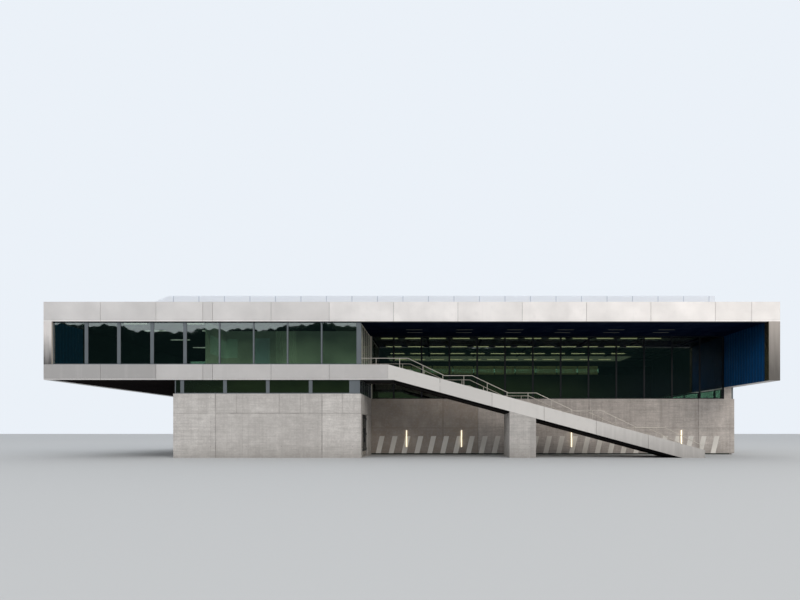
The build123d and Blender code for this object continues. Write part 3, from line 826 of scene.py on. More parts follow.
@dataclass(frozen=True)
class TwoFaced(Finish):
    """A surface whose underside is darker, as painted shade."""

    # Painted shade on faces that look down.
    under: Color = (0.02, 0.03, 0.05)
    patches: Marks = Marks(2.2, share=0.5, factor=0.75)
    runs: Runs = Runs(5.0, share=0.2, factor=0.6)

    def dress(self, paint: Paint) -> None:
        """Links the colours, with painted shade on the faces that look down.

        Args:
            paint: The material's paint.
        """
        color = paint.layered(
            self.color,
            self.patches.layer(paint, self.color),
            self.runs.layer(paint, self.color),
            (paint.facing(Axis.Z, -1.0), 1.0, self.under),
        )
        normal = paint.shared("grain", Scale=70.0, Strength=0.25)
        paint.give({"Base Color": color, "Roughness": self.roughness, "Normal": normal})


@dataclass(frozen=True)
class Gravel(Finish):
    """Roof gravel: stones of several greys with dark gaps.

    Attributes:
        stones: Scale of the stones.
        tones: How dark and how light they are.
        gap: Distance from a stone's middle where the gap starts and is full.
        gap_factor: How dark it is.
        relief: Depth of the gaps, in metres.
        relief_share: How far the relief shows.
        patches: Darker patches.
    """

    stones: float = 26.0
    tones: Pair = (0.62, 1.3)
    gap: Pair = (0.3, 0.75)
    gap_factor: float = 0.35
    relief: float = 0.008
    relief_share: float = 0.6
    patches: Marks = Marks(0.8, share=0.3, factor=0.7)

    def dress(self, paint: Paint) -> None:
        """Links the stones' colours and their relief.

        Args:
            paint: The material's paint.
        """
        stones = paint.node("TexVoronoi", {"Vector": paint.place(), "Scale": self.stones})
        drawn = paint.node("SeparateColor", {0: stones.outputs["Color"]}).outputs[0]
        distance = stones.outputs["Distance"]
        color = paint.layered(
            paint.blend(drawn, *(scaled(self.color, tone) for tone in self.tones)),
            (paint.span(distance, *self.gap), 1.0, scaled(self.color, self.gap_factor)),
            self.patches.layer(paint, self.color),
        )
        normal = paint.bump(paint.math("SUBTRACT", 1.0, distance), self.relief_share, self.relief)
        paint.give({"Base Color": color, "Roughness": self.roughness, "Normal": normal})


@dataclass(frozen=True)
class Pane(Finish):
    """Tinted glass.

    Attributes:
        index: Index of refraction.
        clear: Share of light that passes.
        film: Film of dust.
        runs: Run marks in it.
        dust_share: How far dust covers.
        dust_factor: How dark it is.
        rougher: How much rougher it makes the glass.
    """

    index: float = 1.45
    clear: float = 1.0
    film: Marks = Marks(1.1, 0.4, 0.8, 0.6)
    runs: Runs = Runs(9.0, 0.6, 0.9)
    dust_share: float = 0.2
    dust_factor: float = 0.8
    rougher: float = 0.03

    def dress(self, paint: Paint) -> None:
        """Sets the glass and its faint film of dust.

        Args:
            paint: The material's paint.
        """
        paint.give({"IOR": self.index, "Transmission Weight": self.clear})
        film = paint.times(self.film.mask(paint), self.film.share)
        dust = paint.most(film, self.runs.mask(paint))
        rough = paint.span(dust, 0.0, 1.0, self.roughness, self.roughness + self.rougher)
        dusty = (dust, self.dust_share, scaled(self.color, self.dust_factor))
        paint.give({"Base Color": paint.layered(self.color, dusty), "Roughness": rough})


@dataclass(frozen=True)
class RoofSheet(Pane):
    """Translucent sheets with their joints, whose row starts at a place along X."""

    start: float = 0.0
    pitch: float = 1.03
    joint_width: float = 0.03
    joint_share: float = 0.4
    joint_color: Color = (0.35, 0.38, 0.42)

    def dress(self, paint: Paint) -> None:
        """Links the sheet and draws its joints.

        Args:
            paint: The material's paint.
        """
        super().dress(paint)
        row = {"AlongX": 1.0, "AlongY": 0.0, "Start": self.start, "Pitch": self.pitch}
        lines = paint.shared("panel_lines", Width=self.joint_width, **row)
        paint.cover((lines, self.joint_share, self.joint_color))


@dataclass(frozen=True)
class Light(Finish):
    """A glowing surface, a little dimmer at some places: a lamp's diffuser, and painted light on the blind
    slats and the rear band.
    """

    dimmer: Marks = Marks(5.0, factor=0.9)

    def dress(self, paint: Paint) -> None:
        """Links the diffuser's tone."""
        color = paint.layered(self.color, self.dimmer.layer(paint, self.color))
        paint.give({"Base Color": color, "Roughness": self.roughness})


WALL = CastConcrete(
    "block_concrete", Slot.CONCRETE, shade(220, 214, 207), 0.82, stain=shade(164, 158, 152),
    dirt=shade(118, 112, 104), pour_from=-6.87, pour_to=-3.145, seams=(-6.865, -3.14),
    upper_seams=(-6.13, -4.635, -3.9, -2.43), seam_level=1.56, tie_start=-2.075
)
# Its darker field from -1.8 to 2.525 is painted shade under the stair and the loggia.
RECESS = CastConcrete(
    "recessed_concrete", Slot.CONCRETE, shade(214, 204, 195), 0.82, stain=shade(150, 141, 133),
    dirt=shade(108, 101, 92), dirt_height=0.5, pour_from=-1.8, pour_to=2.525, pour_share=0.8,
    pour_color=shade(140, 122, 104), seams=(1.115, 2.53, 7.015, 11.43), seam_level=1.07, tie_start=0.62
)
PIER = CastConcrete(
    "pier_concrete", Slot.CONCRETE, shade(203, 197, 190), 0.82, stain=shade(150, 145, 140),
    dirt=shade(110, 104, 96), tie_start=0.4
)
# The stair's dark underside is painted shade.
STEP = TwoFaced(
    "stair_concrete_finish", Slot.STAIR, shade(168, 163, 156), 0.85, under=shade(14, 14, 15), mirror=0.2
)
# A wide spread, so that the bands' tones carry painted light and shade.
STEEL = SheetSteel(
    "band_steel", Slot.STEEL, shade(252, 246, 241), 0.5, 0.25, 0.14, spread=0.6, tone_from="tone"
)
EDGE_STEEL = SheetSteel("edge_steel", Slot.STEEL, shade(250, 246, 242), 0.42, 0.35, 0.1, spread=0.05)
LEFT_STEEL = LinedSteel(
    "left_steel", Slot.STEEL, shade(226, 223, 220), 0.5, 0.25, 0.14, along=Axis.Y, start=-5.625,
    spread=0.14, seam_levels=(3.27, 4.775), inside=Axis.X, side=1.0
)
RIGHT_STEEL = replace(LEFT_STEEL, name="right_steel", side=-1.0)
REAR_STEEL = replace(
    RIGHT_STEEL, name="rear_steel", along=Axis.X, start=-12.88, seam_levels=(3.04, 4.78), inside=Axis.Y
)
# Stair, end and fin steel: painted shade towards their foot.
STAIR_STEEL = SheetSteel(
    "stair_steel", Slot.STEEL, shade(216, 211, 205), 0.5, 0.25, 0.14, start=-0.84, pitch=1.822, spread=0.1,
    shade_top=1.1, shade_foot=-0.3, shade_color=shade(148, 143, 138)
)
END_STEEL = SheetSteel(
    "end_steel", Slot.STEEL, shade(234, 226, 220), 0.48, 0.3, 0.14, spread=0.06, pitch=50.0, shade_top=4.35,
    shade_foot=3.35, shade_color=shade(66, 64, 62)
)
# The fin's darker colour is painted shade.
FIN_STEEL = replace(
    END_STEEL, name="fin_steel", color=shade(196, 186, 177), shade_top=5.6, shade_foot=3.0,
    shade_color=shade(84, 80, 75)
)
# Its dark olive colour is a painted reflection of dark surroundings in the polished steel.
MIRROR = SheetSteel("reveal_steel", Slot.STEEL, (0.2, 0.18, 0.12), 0.2, 0.9, 0.05, spread=0.08)
BEIGE_STEEL = Finish("window_reveal_steel", Slot.STEEL, shade(206, 196, 182), 0.45, 0.2)
TUBE = Finish("tube_steel", Slot.TUBE, shade(206, 198, 186), 0.36, 0.5, 0.03)
FRAME = Finish("frame_grey", Slot.FRAME, shade(100, 106, 110), 0.42)
DARK_FRAME = Finish("frame_dark", Slot.DARK_FRAME, shade(16, 22, 28), 0.4, mirror=0.3)
HALL_BARS = Bars("hall_frame_paint", Slot.DARK_FRAME, shade(12, 18, 24), 0.4, mirror=0.3)
# The stringer's near-black colour is painted shade under the stair.
STRINGER_SHADE = Finish("stringer_painted_shade", Slot.DARK_FRAME, shade(24, 23, 23), 0.85, mirror=0.05)
RUBBER = Finish("seal_black", Slot.DARK_FRAME, shade(14, 16, 18), 0.6, mirror=0.2)
NAVY = Finish("soffit_navy", Slot.NAVY, shade(3, 15, 40), 0.7, mirror=0.02)
UNDER = Finish("overhang_paint", Slot.NAVY, shade(34, 31, 31), 0.8, mirror=0.0)
BLUE = RibbedPaint("ribbed_blue", Slot.BLUE, shade(2, 68, 116), 0.42, mirror=0.2)
# Its glow is painted light of the lit room.
ROOM_BLUE = RibbedPaint(
    "room_blue", Slot.BLUE, shade(0, 106, 172), 0.5, mirror=0.1, glow=0.07, groove_from=12.59,
    top_level=5.2
)
TRUSS = Finish("truss_white", Slot.TRUSS, shade(204, 211, 220), 0.5)
GLASS = Pane("green_glass", Slot.GLASS, (0.34, 0.52, 0.4), 0.01, index=2.6)
DOOR_GLASS = Pane("door_glass", Slot.GLASS, (0.3, 0.4, 0.4), 0.02, index=1.8)
# The sheet's faint glow is painted light.
SKIN = RoofSheet(
    "lantern_sheet", Slot.SHEET, shade(240, 243, 248), 0.6, index=1.2, mirror=0.3, clear=0.25, glow=0.08,
    start=-9.77
)
GRAVEL = Gravel("roof_gravel", Slot.ROOF, shade(150, 146, 138), 0.9)
UPSTAND = Finish("roof_upstand", Slot.ROOF, shade(126, 127, 128), 0.75)
FLOORING = TwoFaced("floor_finish", Slot.FRAME, shade(40, 54, 50), 0.5, under=shade(12, 18, 26), mirror=0.2)
# Near-black inside surfaces: painted shade of the dim rooms and hall.
INNER_DARK = Finish("inner_dark", Slot.DARK_FRAME, shade(10, 14, 20), 0.8, mirror=0.1)
# These inner surfaces glow as painted light of the lit rooms.
PLASTER = LitWall("inner_plaster", Slot.FRAME, shade(160, 163, 156), 0.8, mirror=0.1, glow=0.36)
CURTAIN = LitWall("curtain_cloth", Slot.FRAME, shade(184, 190, 176), 0.9, mirror=0.0, glow=0.38)
BOARD = replace(
    PLASTER, name="room_board_paint", color=shade(180, 198, 186), roughness=0.5,
    foot_color=(0.62, 0.74, 0.6)
)
ROOM_DOOR = replace(
    BOARD, name="room_door_paint", slot=Slot.DARK_FRAME, color=shade(176, 190, 196),
    foot_color=(0.5, 0.66, 0.66)
)
BARS = Finish("pale_wall_paint", Slot.CONCRETE, shade(226, 220, 210), 0.8)
WARM = Light("warm_tube", Slot.WARM_LAMP, shade(255, 240, 208), 0.4, glow=1.15)
HALL_GLOW = Light("hall_tube", Slot.DIM_LAMP, shade(255, 226, 186), 0.4, glow=0.8)
ROOM_GLOW = Light("room_tube", Slot.DIM_LAMP, shade(255, 240, 240), 0.4, glow=0.6)
DIM = Light("soffit_tube", Slot.DIM_LAMP, shade(104, 106, 98), 0.5, glow=0.55)
# The blind slats and the rear band are no lamps: their glow is painted light.
SLAT_GLOW = Light("blind_slats", Slot.DIM_LAMP, shade(196, 188, 140), 0.6, glow=0.11)
BAND_GLOW = Light("rear_band_light", Slot.DIM_LAMP, shade(200, 190, 172), 0.6, glow=0.22)

NODE_FINISHES = (
    (FLOORING, ("ground_floors",)),
    (WALL, ("block_front_wall", "block_left_wall", "return_walls", "return_lintel")),
    (WALL, ("right_plinth_wall", "rear_plinth_wall")),
    (RECESS, ("hall_front_wall", "corner_piers")),
    (INNER_DARK, ("hall_left_walls", "upper_floor_slab", "window_upstands", "lamp_tracks")),
    (FRAME, ("strip_window_frames", "upper_window_frames")),
    (GLASS, ("strip_window_glass", "upper_window_glass", "hall_glazing")),
    (HALL_BARS, ("hall_glazing_frames",)),
    (REAR_STEEL, ("hall_rear_wall",)),
    (LEFT_STEEL, ("left_end_wall",)),
    (RIGHT_STEEL, ("right_end_wall",)),
    (UPSTAND, ("parapets", "roof_curb")),
    (GRAVEL, ("roof_deck",)),
    (TRUSS, ("roof_trusses",)),
    (SKIN, ("lantern_glazing",)),
    (STEP, ("stair_top_landing", "door_threshold", *(f"stair_flight_{number}" for number in range(1, 6)))),
    (STAIR_STEEL, ("stair_outer_cladding", "stair_inner_cladding")),
    (PIER, ("stair_pier",)),
    (TUBE, ("outer_guard", "inner_guard")),
    (DARK_FRAME, ("door_jambs", "door_head", "front_door_leaf", "rear_door_leaf")),
    (DOOR_GLASS, ("front_door_light", "rear_door_light")),
)


def dress_nodes() -> None:
    """Gives each CAD node that stays in view its finish."""
    for finish, names in NODE_FINISHES:
        for name in names:
            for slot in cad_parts[name].material_slots:
                slot.material = finish.material()
            logging.info("node %s has the finish %s", name, finish.name)


class Shape:
    """The mesh of one piece, made with bmesh operators."""

    def __init__(self) -> None:
        """Starts an empty mesh."""
        self.mesh = bmesh.new()

    def bevel(self, edges: list[bmesh.types.BMEdge], width: float, segments: int) -> None:
        """Turns edges into softer strips of that width, with that many steps across."""
        kind = {"offset_type": "OFFSET", "profile": 0.5, "affect": "EDGES", "material": -1}
        bmesh.ops.bevel(self.mesh, geom=edges, offset=width, segments=segments, clamp_overlap=True, **kind)

    def box(self, low: Place, high: Place, edge: float = 0.0, segments: int = 1) -> None:
        """Adds a box with softened edges.

        Args:
            low: Its lowest corner.
            high: Its highest corner.
            edge: Width of the softened edges.
            segments: Number of steps across such an edge.
        """
        low, high = Vector(low), Vector(high)
        matrix = Matrix.LocRotScale((low + high) / 2, None, high - low)
        made = bmesh.ops.create_cube(self.mesh, size=1.0, matrix=matrix)
        if edge > 0:
            edges = dict.fromkeys(line for vert in made["verts"] for line in vert.link_edges)
            self.bevel(list(edges), edge, segments)

    def tube(self, start: Place, end: Place, radius: float, sides: int = 20, edge: float = 0.0) -> None:
        """Adds a round bar.

        Args:
            start: Middle of its first end.
            end: Middle of its other end.
            radius: Its radius.
            sides: Number of its sides.
            edge: Width of the softened rims.
        """
        start, end = Vector(start), Vector(end)
        run = end - start
        matrix = Matrix.LocRotScale((start + end) / 2, run.to_track_quat("Z", "Y"), None)
        size = {"segments": sides, "radius1": radius, "radius2": radius, "depth": run.length}
        made = bmesh.ops.create_cone(self.mesh, cap_ends=True, matrix=matrix, **size)
        if edge > 0:
            faces = dict.fromkeys(face for vert in made["verts"] for face in vert.link_faces)
            rims = [line for face in faces if len(face.verts) > CORNERS for line in face.edges]
            self.bevel(rims, edge, 2)

    def move_new(self, raised: dict[str, list], push: Place) -> list[bmesh.types.BMFace]:
        """Moves what an extrusion made.

        Args:
            raised: The extrusion's result.
            push: How far it moves.

        Returns:
            The extrusion's new faces.
        """
        verts = [item for item in raised["geom"] if isinstance(item, bmesh.types.BMVert)]
        bmesh.ops.translate(self.mesh, verts=verts, vec=Vector(push))
        return [item for item in raised["geom"] if isinstance(item, bmesh.types.BMFace)]

    def ring(self, low: Place, high: Place, across: Axis, width: float) -> None:
        """Adds a flat frame that lies just inside a box.

        Args:
            low: The box's lowest corner.
            high: Its highest corner.
            across: Direction in which the frame is thin.
            width: Width of its four bars.
        """
        low, high = Vector(low), Vector(high)
        size = high - low
        centre = (low + high) / 2
        centre[across.value] = low[across.value]
        turn, hinge = {Axis.X: (90.0, "Y"), Axis.Y: (90.0, "X"), Axis.Z: (0.0, "Z")}[across]
        wide, tall = {Axis.X: size.zy, Axis.Y: size.xz, Axis.Z: size.xy}[across]
        matrix = Matrix.Translation(centre) @ Matrix.Rotation(math.radians(turn), 4, hinge)
        matrix @= Matrix.Diagonal((wide, tall, 1.0, 1.0))
        made = bmesh.ops.create_grid(self.mesh, x_segments=1, y_segments=1, size=0.5, matrix=matrix)
        face = made["verts"][0].link_faces[0]
        inset = bmesh.ops.inset_individual(self.mesh, faces=[face], thickness=width)
        bmesh.ops.delete(self.mesh, geom=[face], context="FACES_ONLY")
        raised = bmesh.ops.extrude_face_region(self.mesh, geom=inset["faces"])
        self.move_new(raised, across.run(size[across.value]))

    def plate(self, corners: Sequence[Place], across: Axis, thickness: float) -> None:
        """Adds a flat plate from the corners of its outline, as thick as given along an axis."""
        face = self.mesh.faces.new([self.mesh.verts.new(corner) for corner in corners])
        self.move_new(bmesh.ops.extrude_face_region(self.mesh, geom=[face]), across.run(thickness))

    def folded(self, line: Sequence[Place], rise: float, thickness: Vector) -> None:
        """Adds an upright folded sheet.

        Args:
            line: Its lower edge.
            rise: Its height.
            thickness: Its thickness, as a vector from its first face to the other.
        """
        verts = [self.mesh.verts.new(point) for point in line]
        edges = [self.mesh.edges.new(pair) for pair in zip(verts, verts[1:])]
        faces = self.move_new(bmesh.ops.extrude_edge_only(self.mesh, edges=edges), Axis.Z.run(rise))
        self.move_new(bmesh.ops.extrude_face_region(self.mesh, geom=faces), thickness)

    def mark(self, layer_name: str, value: float) -> None:
        """Gives the faces that have no value yet this one.

        Args:
            layer_name: Name of the attribute.
            value: Its value.
        """
        layers = self.mesh.faces.layers.float
        layer = layers.get(layer_name) or layers.new(layer_name)
        for face in self.mesh.faces:
            face[layer] = face[layer] or value

    def piece(
        self,
        name: str,
        finish: Finish,
        body: Body = Body.BUILDING,
        stands_for: Sequence[str] = (),
        smooth: float = 0.0,
    ) -> None:
        """Turns the mesh into a piece that rides on a body.

        Args:
            name: Name of the piece.
            finish: Its finish.
            body: The body that it moves with.
            stands_for: CAD nodes that it replaces.
            smooth: Angle in degrees up to which its edges look round.
        """
        bmesh.ops.recalc_face_normals(self.mesh, faces=self.mesh.faces)
        data = bpy.data.meshes.new(name)
        self.mesh.to_mesh(data)
        self.mesh.free()
        if smooth > 0:
            data.shade_smooth()
            data.set_sharp_from_angle(angle=math.radians(smooth))
        data.materials.append(finish.material())
        made = bpy.data.objects.new(name, data)
        bpy.context.scene.collection.objects.link(made)
        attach(made, body.value)
        if stands_for:
            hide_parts(*stands_for)
        logging.info("piece %s with %d faces on %s", name, len(data.polygons), body.value)


@dataclass(frozen=True)
class Solid:
    """The box of one solid of a CAD node."""

    low: Vector
    high: Vector

    @property
    def size(self) -> Vector:
        """Its three lengths."""
        return self.high - self.low

    @property
    def middle(self) -> Vector:
        """Its centre."""
        return (self.low + self.high) / 2


def solids(node: str) -> list[Solid]:
    """The boxes of a CAD node's separate solids, from the front back, and from left to right.

    Args:
        node: Name of the node.

    Returns:
        One box for each solid.
    """
    mesh = bmesh.new()
    mesh.from_mesh(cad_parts[node].data)
    bmesh.ops.remove_doubles(mesh, verts=mesh.verts, dist=1e-5)
    waiting = set(mesh.verts)
    found = []
    while waiting:
        stack = [waiting.pop()]
        places = []
        while stack:
            vert = stack.pop()
            places.append(vert.co.copy())
            others = {line.other_vert(vert) for line in vert.link_edges} & waiting
            waiting -= others
            stack.extend(others)
        rows = list(zip(*places))
        found.append(Solid(Vector([min(row) for row in rows]), Vector([max(row) for row in rows])))
    mesh.free()
    return sorted(found, key=lambda solid: (round(solid.low.y, ROW_DIGITS), solid.low.x, solid.low.z))


@dataclass(frozen=True)
class Levels:
    """Planes and levels of the building, read from the frame."""

    front: float
    rear: float
    block_right: float
    inner_left: float
    inner_right: float
    glass: float
    floor: float
    fascia: float
    window: float
    head: float
    ceiling: float
    deck: float
    top: float

    @classmethod
    def read(cls) -> "Levels":
        """Reads them from the CAD nodes.

        Returns:
            The levels.
        """
        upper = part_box("upper_fascia_panels")
        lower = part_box("lower_fascia_panels")
        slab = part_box("upper_floor_slab")
        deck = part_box("roof_deck")
        return cls(
            front=upper[0].y,
            rear=upper[1].y,
            block_right=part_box("block_front_wall")[1].x,
            inner_left=slab[0].x,
            inner_right=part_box("right_end_wall")[0].x,
            glass=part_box("hall_front_wall")[0].y,
            floor=slab[1].z,
            fascia=lower[0].z,
            window=lower[1].z,
            head=upper[0].z,
            ceiling=deck[0].z,
            deck=deck[1].z,
            top=upper[1].z,
        )


@dataclass
class Cladding:
    """Folded stainless panels of the two bands and the wall ends, the roof edge and the reveals."""

    levels: Levels
    edge: float = 0.003
    foot_height: float = 0.046
    foot_gap: float = 0.003
    foot_setback: float = 0.002
    # Mean tones of the bands and feet are painted light: the upper band lighter, the lower band darker as
    # painted shade.
    upper_tones: Pairs = ((-3.0, 0.62), (9.0, 0.93), (20.0, 0.76))
    lower_tones: Pairs = ((-9.0, 0.12), (20.0, 0.35))
    upper_foot_tone: float = 0.98
    lower_foot_tone: float = 0.52
    tone_play: float = 0.08
    cap_height: float = 0.014
    cap_length: float = 2.25
    cap_gap: float = 0.004
    cap_setback: float = 0.001
    cap_edge: float = 0.002
    cover: float = 0.03
    cover_drop: float = 0.0002
    cover_edge: float = 0.0004
    reveal: float = 0.25
    reveal_thickness: float = 0.004
    seed: int = 7

    def build(self) -> None:
        """Builds all its pieces."""
        self.band("upper", self.upper_tones, self.upper_foot_tone)
        self.band("lower", self.lower_tones, self.lower_foot_tone)
        self.ends()
        self.coping()
        self.reveals()

    def band(self, name: str, tones: Pairs, foot_light_and_shade: float) -> None:
        """A band of panels, each with a folded foot strip.

        Args:
            name: Which band it is.
            tones: Places along X, each with the mean tone of the panels up to it, which is painted light and
                shade.
            foot_light_and_shade: Tone of the feet, which is painted light and shade.
        """
        draw = random.Random(self.seed)
        sheets, feet = Shape(), Shape()
        node = f"{name}_fascia_panels"
        for panel in solids(node):
            low, high = panel.low, panel.high
            split = low.z + self.foot_height
            sheets.box((low.x, low.y, split + self.foot_gap), high, self.edge, 2)
            # The mean tone is painted light and shade; the small random play is the panels' own tone.
            mean_light_and_shade = next(tone for end, tone in tones if low.x < end)
            sheets.mark("tone", mean_light_and_shade + draw.uniform(-self.tone_play, self.tone_play))
            outside = self.foot_setback if low.y < 0 else 0.0
            inside = self.foot_setback if low.y > 0 else 0.0
            feet.box((low.x, low.y + outside, low.z), (high.x, high.y - inside, split), self.edge / 2)
            feet.mark("tone", foot_light_and_shade)
        sheets.piece(f"{name}_band_sheets", STEEL, stands_for=(node,))
        feet.piece(f"{name}_band_feet", STEEL)

    def ends(self) -> None:
        """Panels on the ends of the side walls."""
        left, right = Shape(), Shape()
        for panel in solids("end_panels"):
            shape = left if panel.low.x < 0 else right
            shape.box(panel.low, panel.high, self.edge, 2)
        left.piece("left_end_sheets", END_STEEL, stands_for=("end_panels",))
        right.piece("right_end_sheets", FIN_STEEL)

    def coping(self) -> None:
        """Sheet caps on the roof edge, all round, in lengths with cover strips."""
        caps = Shape()
        top, step = self.levels.top, self.cap_setback
        for beam in solids("parapets"):
            count = round(beam.size.x / self.cap_length)
            pitch = beam.size.x / count
            for number in range(count):
                x, y, z = beam.low.x + number * pitch, beam.low.y + step, top - self.cap_height
                caps.box((x, y, z), (x + pitch - self.cap_gap, beam.high.y, top - step), self.cap_edge)
                if number:
                    far = (x + self.cover, beam.high.y, top - self.cover_drop)
                    caps.box((x - self.cover, y + step, z), far, self.cover_edge)
        caps.piece("roof_edge_caps", EDGE_STEEL)

    def reveals(self) -> None:
        """Polished reveals beside the windows and at the loggia's right end."""
        lev = self.levels
        y0 = lev.front + self.edge
        fin = Shape()
        low = (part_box("blue_linings")[0].x, y0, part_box("end_panels")[0].z)
        fin.box(low, (lev.inner_right, lev.front + self.reveal, lev.head), edge=0.002)
        fin.piece("fin_reveal", MIRROR)
        jamb = Shape()
        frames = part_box("upper_window_frames")
        x1 = lev.inner_left + self.reveal_thickness
        for start, end in ((y0, frames[0].y), (frames[1].y, lev.rear - self.edge)):
            jamb.box((lev.inner_left, start, lev.window), (x1, end, lev.head), edge=0.001)
        jamb.piece("window_reveals", BEIGE_STEEL)


@dataclass
class Windows:
    """Seals, sills and heads of the windows."""

    levels: Levels
    seal_width: float = 0.007
    seal_proud: float = 0.004
    sill_height: float = 0.012
    sill_setback: float = 0.004
    head_start: float = 0.005
    head_drop: float = 0.03
    head_depth: float = 0.012

    def build(self) -> None:
        """Builds all its pieces."""
        for node in ("strip_window_glass", "upper_window_glass", "hall_glazing"):
            self.seals(node)
        self.sills_and_heads()

    def seals(self, node: str) -> None:
        """Black seals round each pane of a node.

        Args:
            node: The CAD node with the panes.
        """
        shape = Shape()
        for pane in solids(node):
            thin = Axis.X if pane.size.x < pane.size.y else Axis.Y
            proud = thin.run(self.seal_proud)
            shape.ring(pane.low - proud, pane.high + proud, thin, self.seal_width)
        shape.piece(f"{node}_seals", RUBBER)

    def sills_and_heads(self) -> None:
        """Folded sills and dark shadow gaps at the upper windows, front and rear."""
        lev = self.levels
        x0, x1 = lev.inner_left, lev.block_right
        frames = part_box("upper_window_frames")
        front, rear = frames[0].y, frames[1].y
        sills, heads = Shape(), Shape()
        for y0, y1 in ((lev.front + self.sill_setback, front), (rear, lev.rear - self.sill_setback)):
            sills.box((x0, y0, lev.window), (x1, y1, lev.window + self.sill_height), edge=0.003)
        for y0, y1 in ((front - self.head_depth, front), (rear, rear + self.head_depth)):
            low = (x0 + self.head_start, y0, lev.head - self.head_drop)
            heads.box(low, (x1, y1, lev.head), edge=0.002)
        sills.piece("window_sills", FRAME)
        heads.piece("window_heads", DARK_FRAME)


@dataclass
class RibbedSheets:
    """Blue ribbed sheets on the right end wall and inside the left room.

    Attributes:
        profile: Corners of one rib, as shares of the pitch and of the depth.
    """

    levels: Levels
    pitch: float = 0.19
    depth: float = 0.013
    sheet: float = 0.002
    gap: float = 0.0005
    profile: Pairs = ((0.0, 0.0), (0.42, 0.0), (0.54, 1.0), (0.88, 1.0))
    room_sheet_start: float = 0.06
    room_sheet_end: float = -3.85

    def build(self) -> None:
        """Builds all its pieces."""
        shape = Shape()
        for lining in solids("blue_linings"):
            self.sheet_on(shape, lining.high.x, -1.0, lining)
        shape.piece("blue_ribbed_sheets", BLUE, stands_for=("blue_linings",))
        lev = self.levels
        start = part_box("upper_window_frames")[0].y + self.room_sheet_start
        low = Vector((lev.inner_left, start, lev.floor))
        room = Shape()
        self.sheet_on(room, low.x, 1.0, Solid(low, Vector((low.x, self.room_sheet_end, lev.ceiling))))
        room.piece("left_room_ribbed_sheet", ROOM_BLUE)

    def sheet_on(self, shape: Shape, wall: float, side: float, area: Solid) -> None:
        """Adds a ribbed sheet that stands on a wall.

        Args:
            shape: The mesh that takes it.
            wall: Place of the wall's face along X.
            side: 1 if the sheet lies to the right of that face, -1 to the left.
            area: What the sheet covers along Y and Z.
        """
        count = max(1, round(area.size.y / self.pitch))
        pitch = area.size.y / count
        line = []
        for number in range(count + 1):
            for share, rise in self.profile if number < count else self.profile[:1]:
                out = self.gap + self.sheet + rise * (self.depth - self.sheet)
                line.append((wall + side * out, area.low.y + (number + share) * pitch, area.low.z))
        shape.folded(line, area.size.z, Axis.X.run(-side * self.sheet))


@dataclass
class Soffits:
    """Panelled ceilings of the overhang and of the loggia."""

    gap: float = 0.008
    edge: float = 0.003
    lap: float = 0.001

    def build(self) -> None:
        """Builds all its pieces."""
        self.field("loggia", NAVY, columns=12, rows=3)
        self.field("overhang", UNDER, columns=4, rows=10)

    def field(self, name: str, finish: Finish, columns: int, rows: int) -> None:
        """A field of dark panels under a backing sheet.

        Args:
            name: Which ceiling it is.
            finish: Its finish.
            columns: Number of panels along the front.
            rows: Number of panels towards the back.
        """
        low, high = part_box(f"{name}_soffit")
        shape = Shape()
        backing = (low.z + high.z) / 2
        shape.box((low.x, low.y, backing), high)
        wide, deep = (high.x - low.x) / columns, (high.y - low.y) / rows
        for column in range(columns):
            for row in range(rows):
                x, y = low.x + column * wide + self.gap / 2, low.y + row * deep + self.gap / 2
                far = (x + wide - self.gap, y + deep - self.gap, backing + self.lap)
                shape.box((x, y, low.z), far, self.edge)
        shape.piece(f"{name}_ceiling_panels", finish, stands_for=(f"{name}_soffit",))


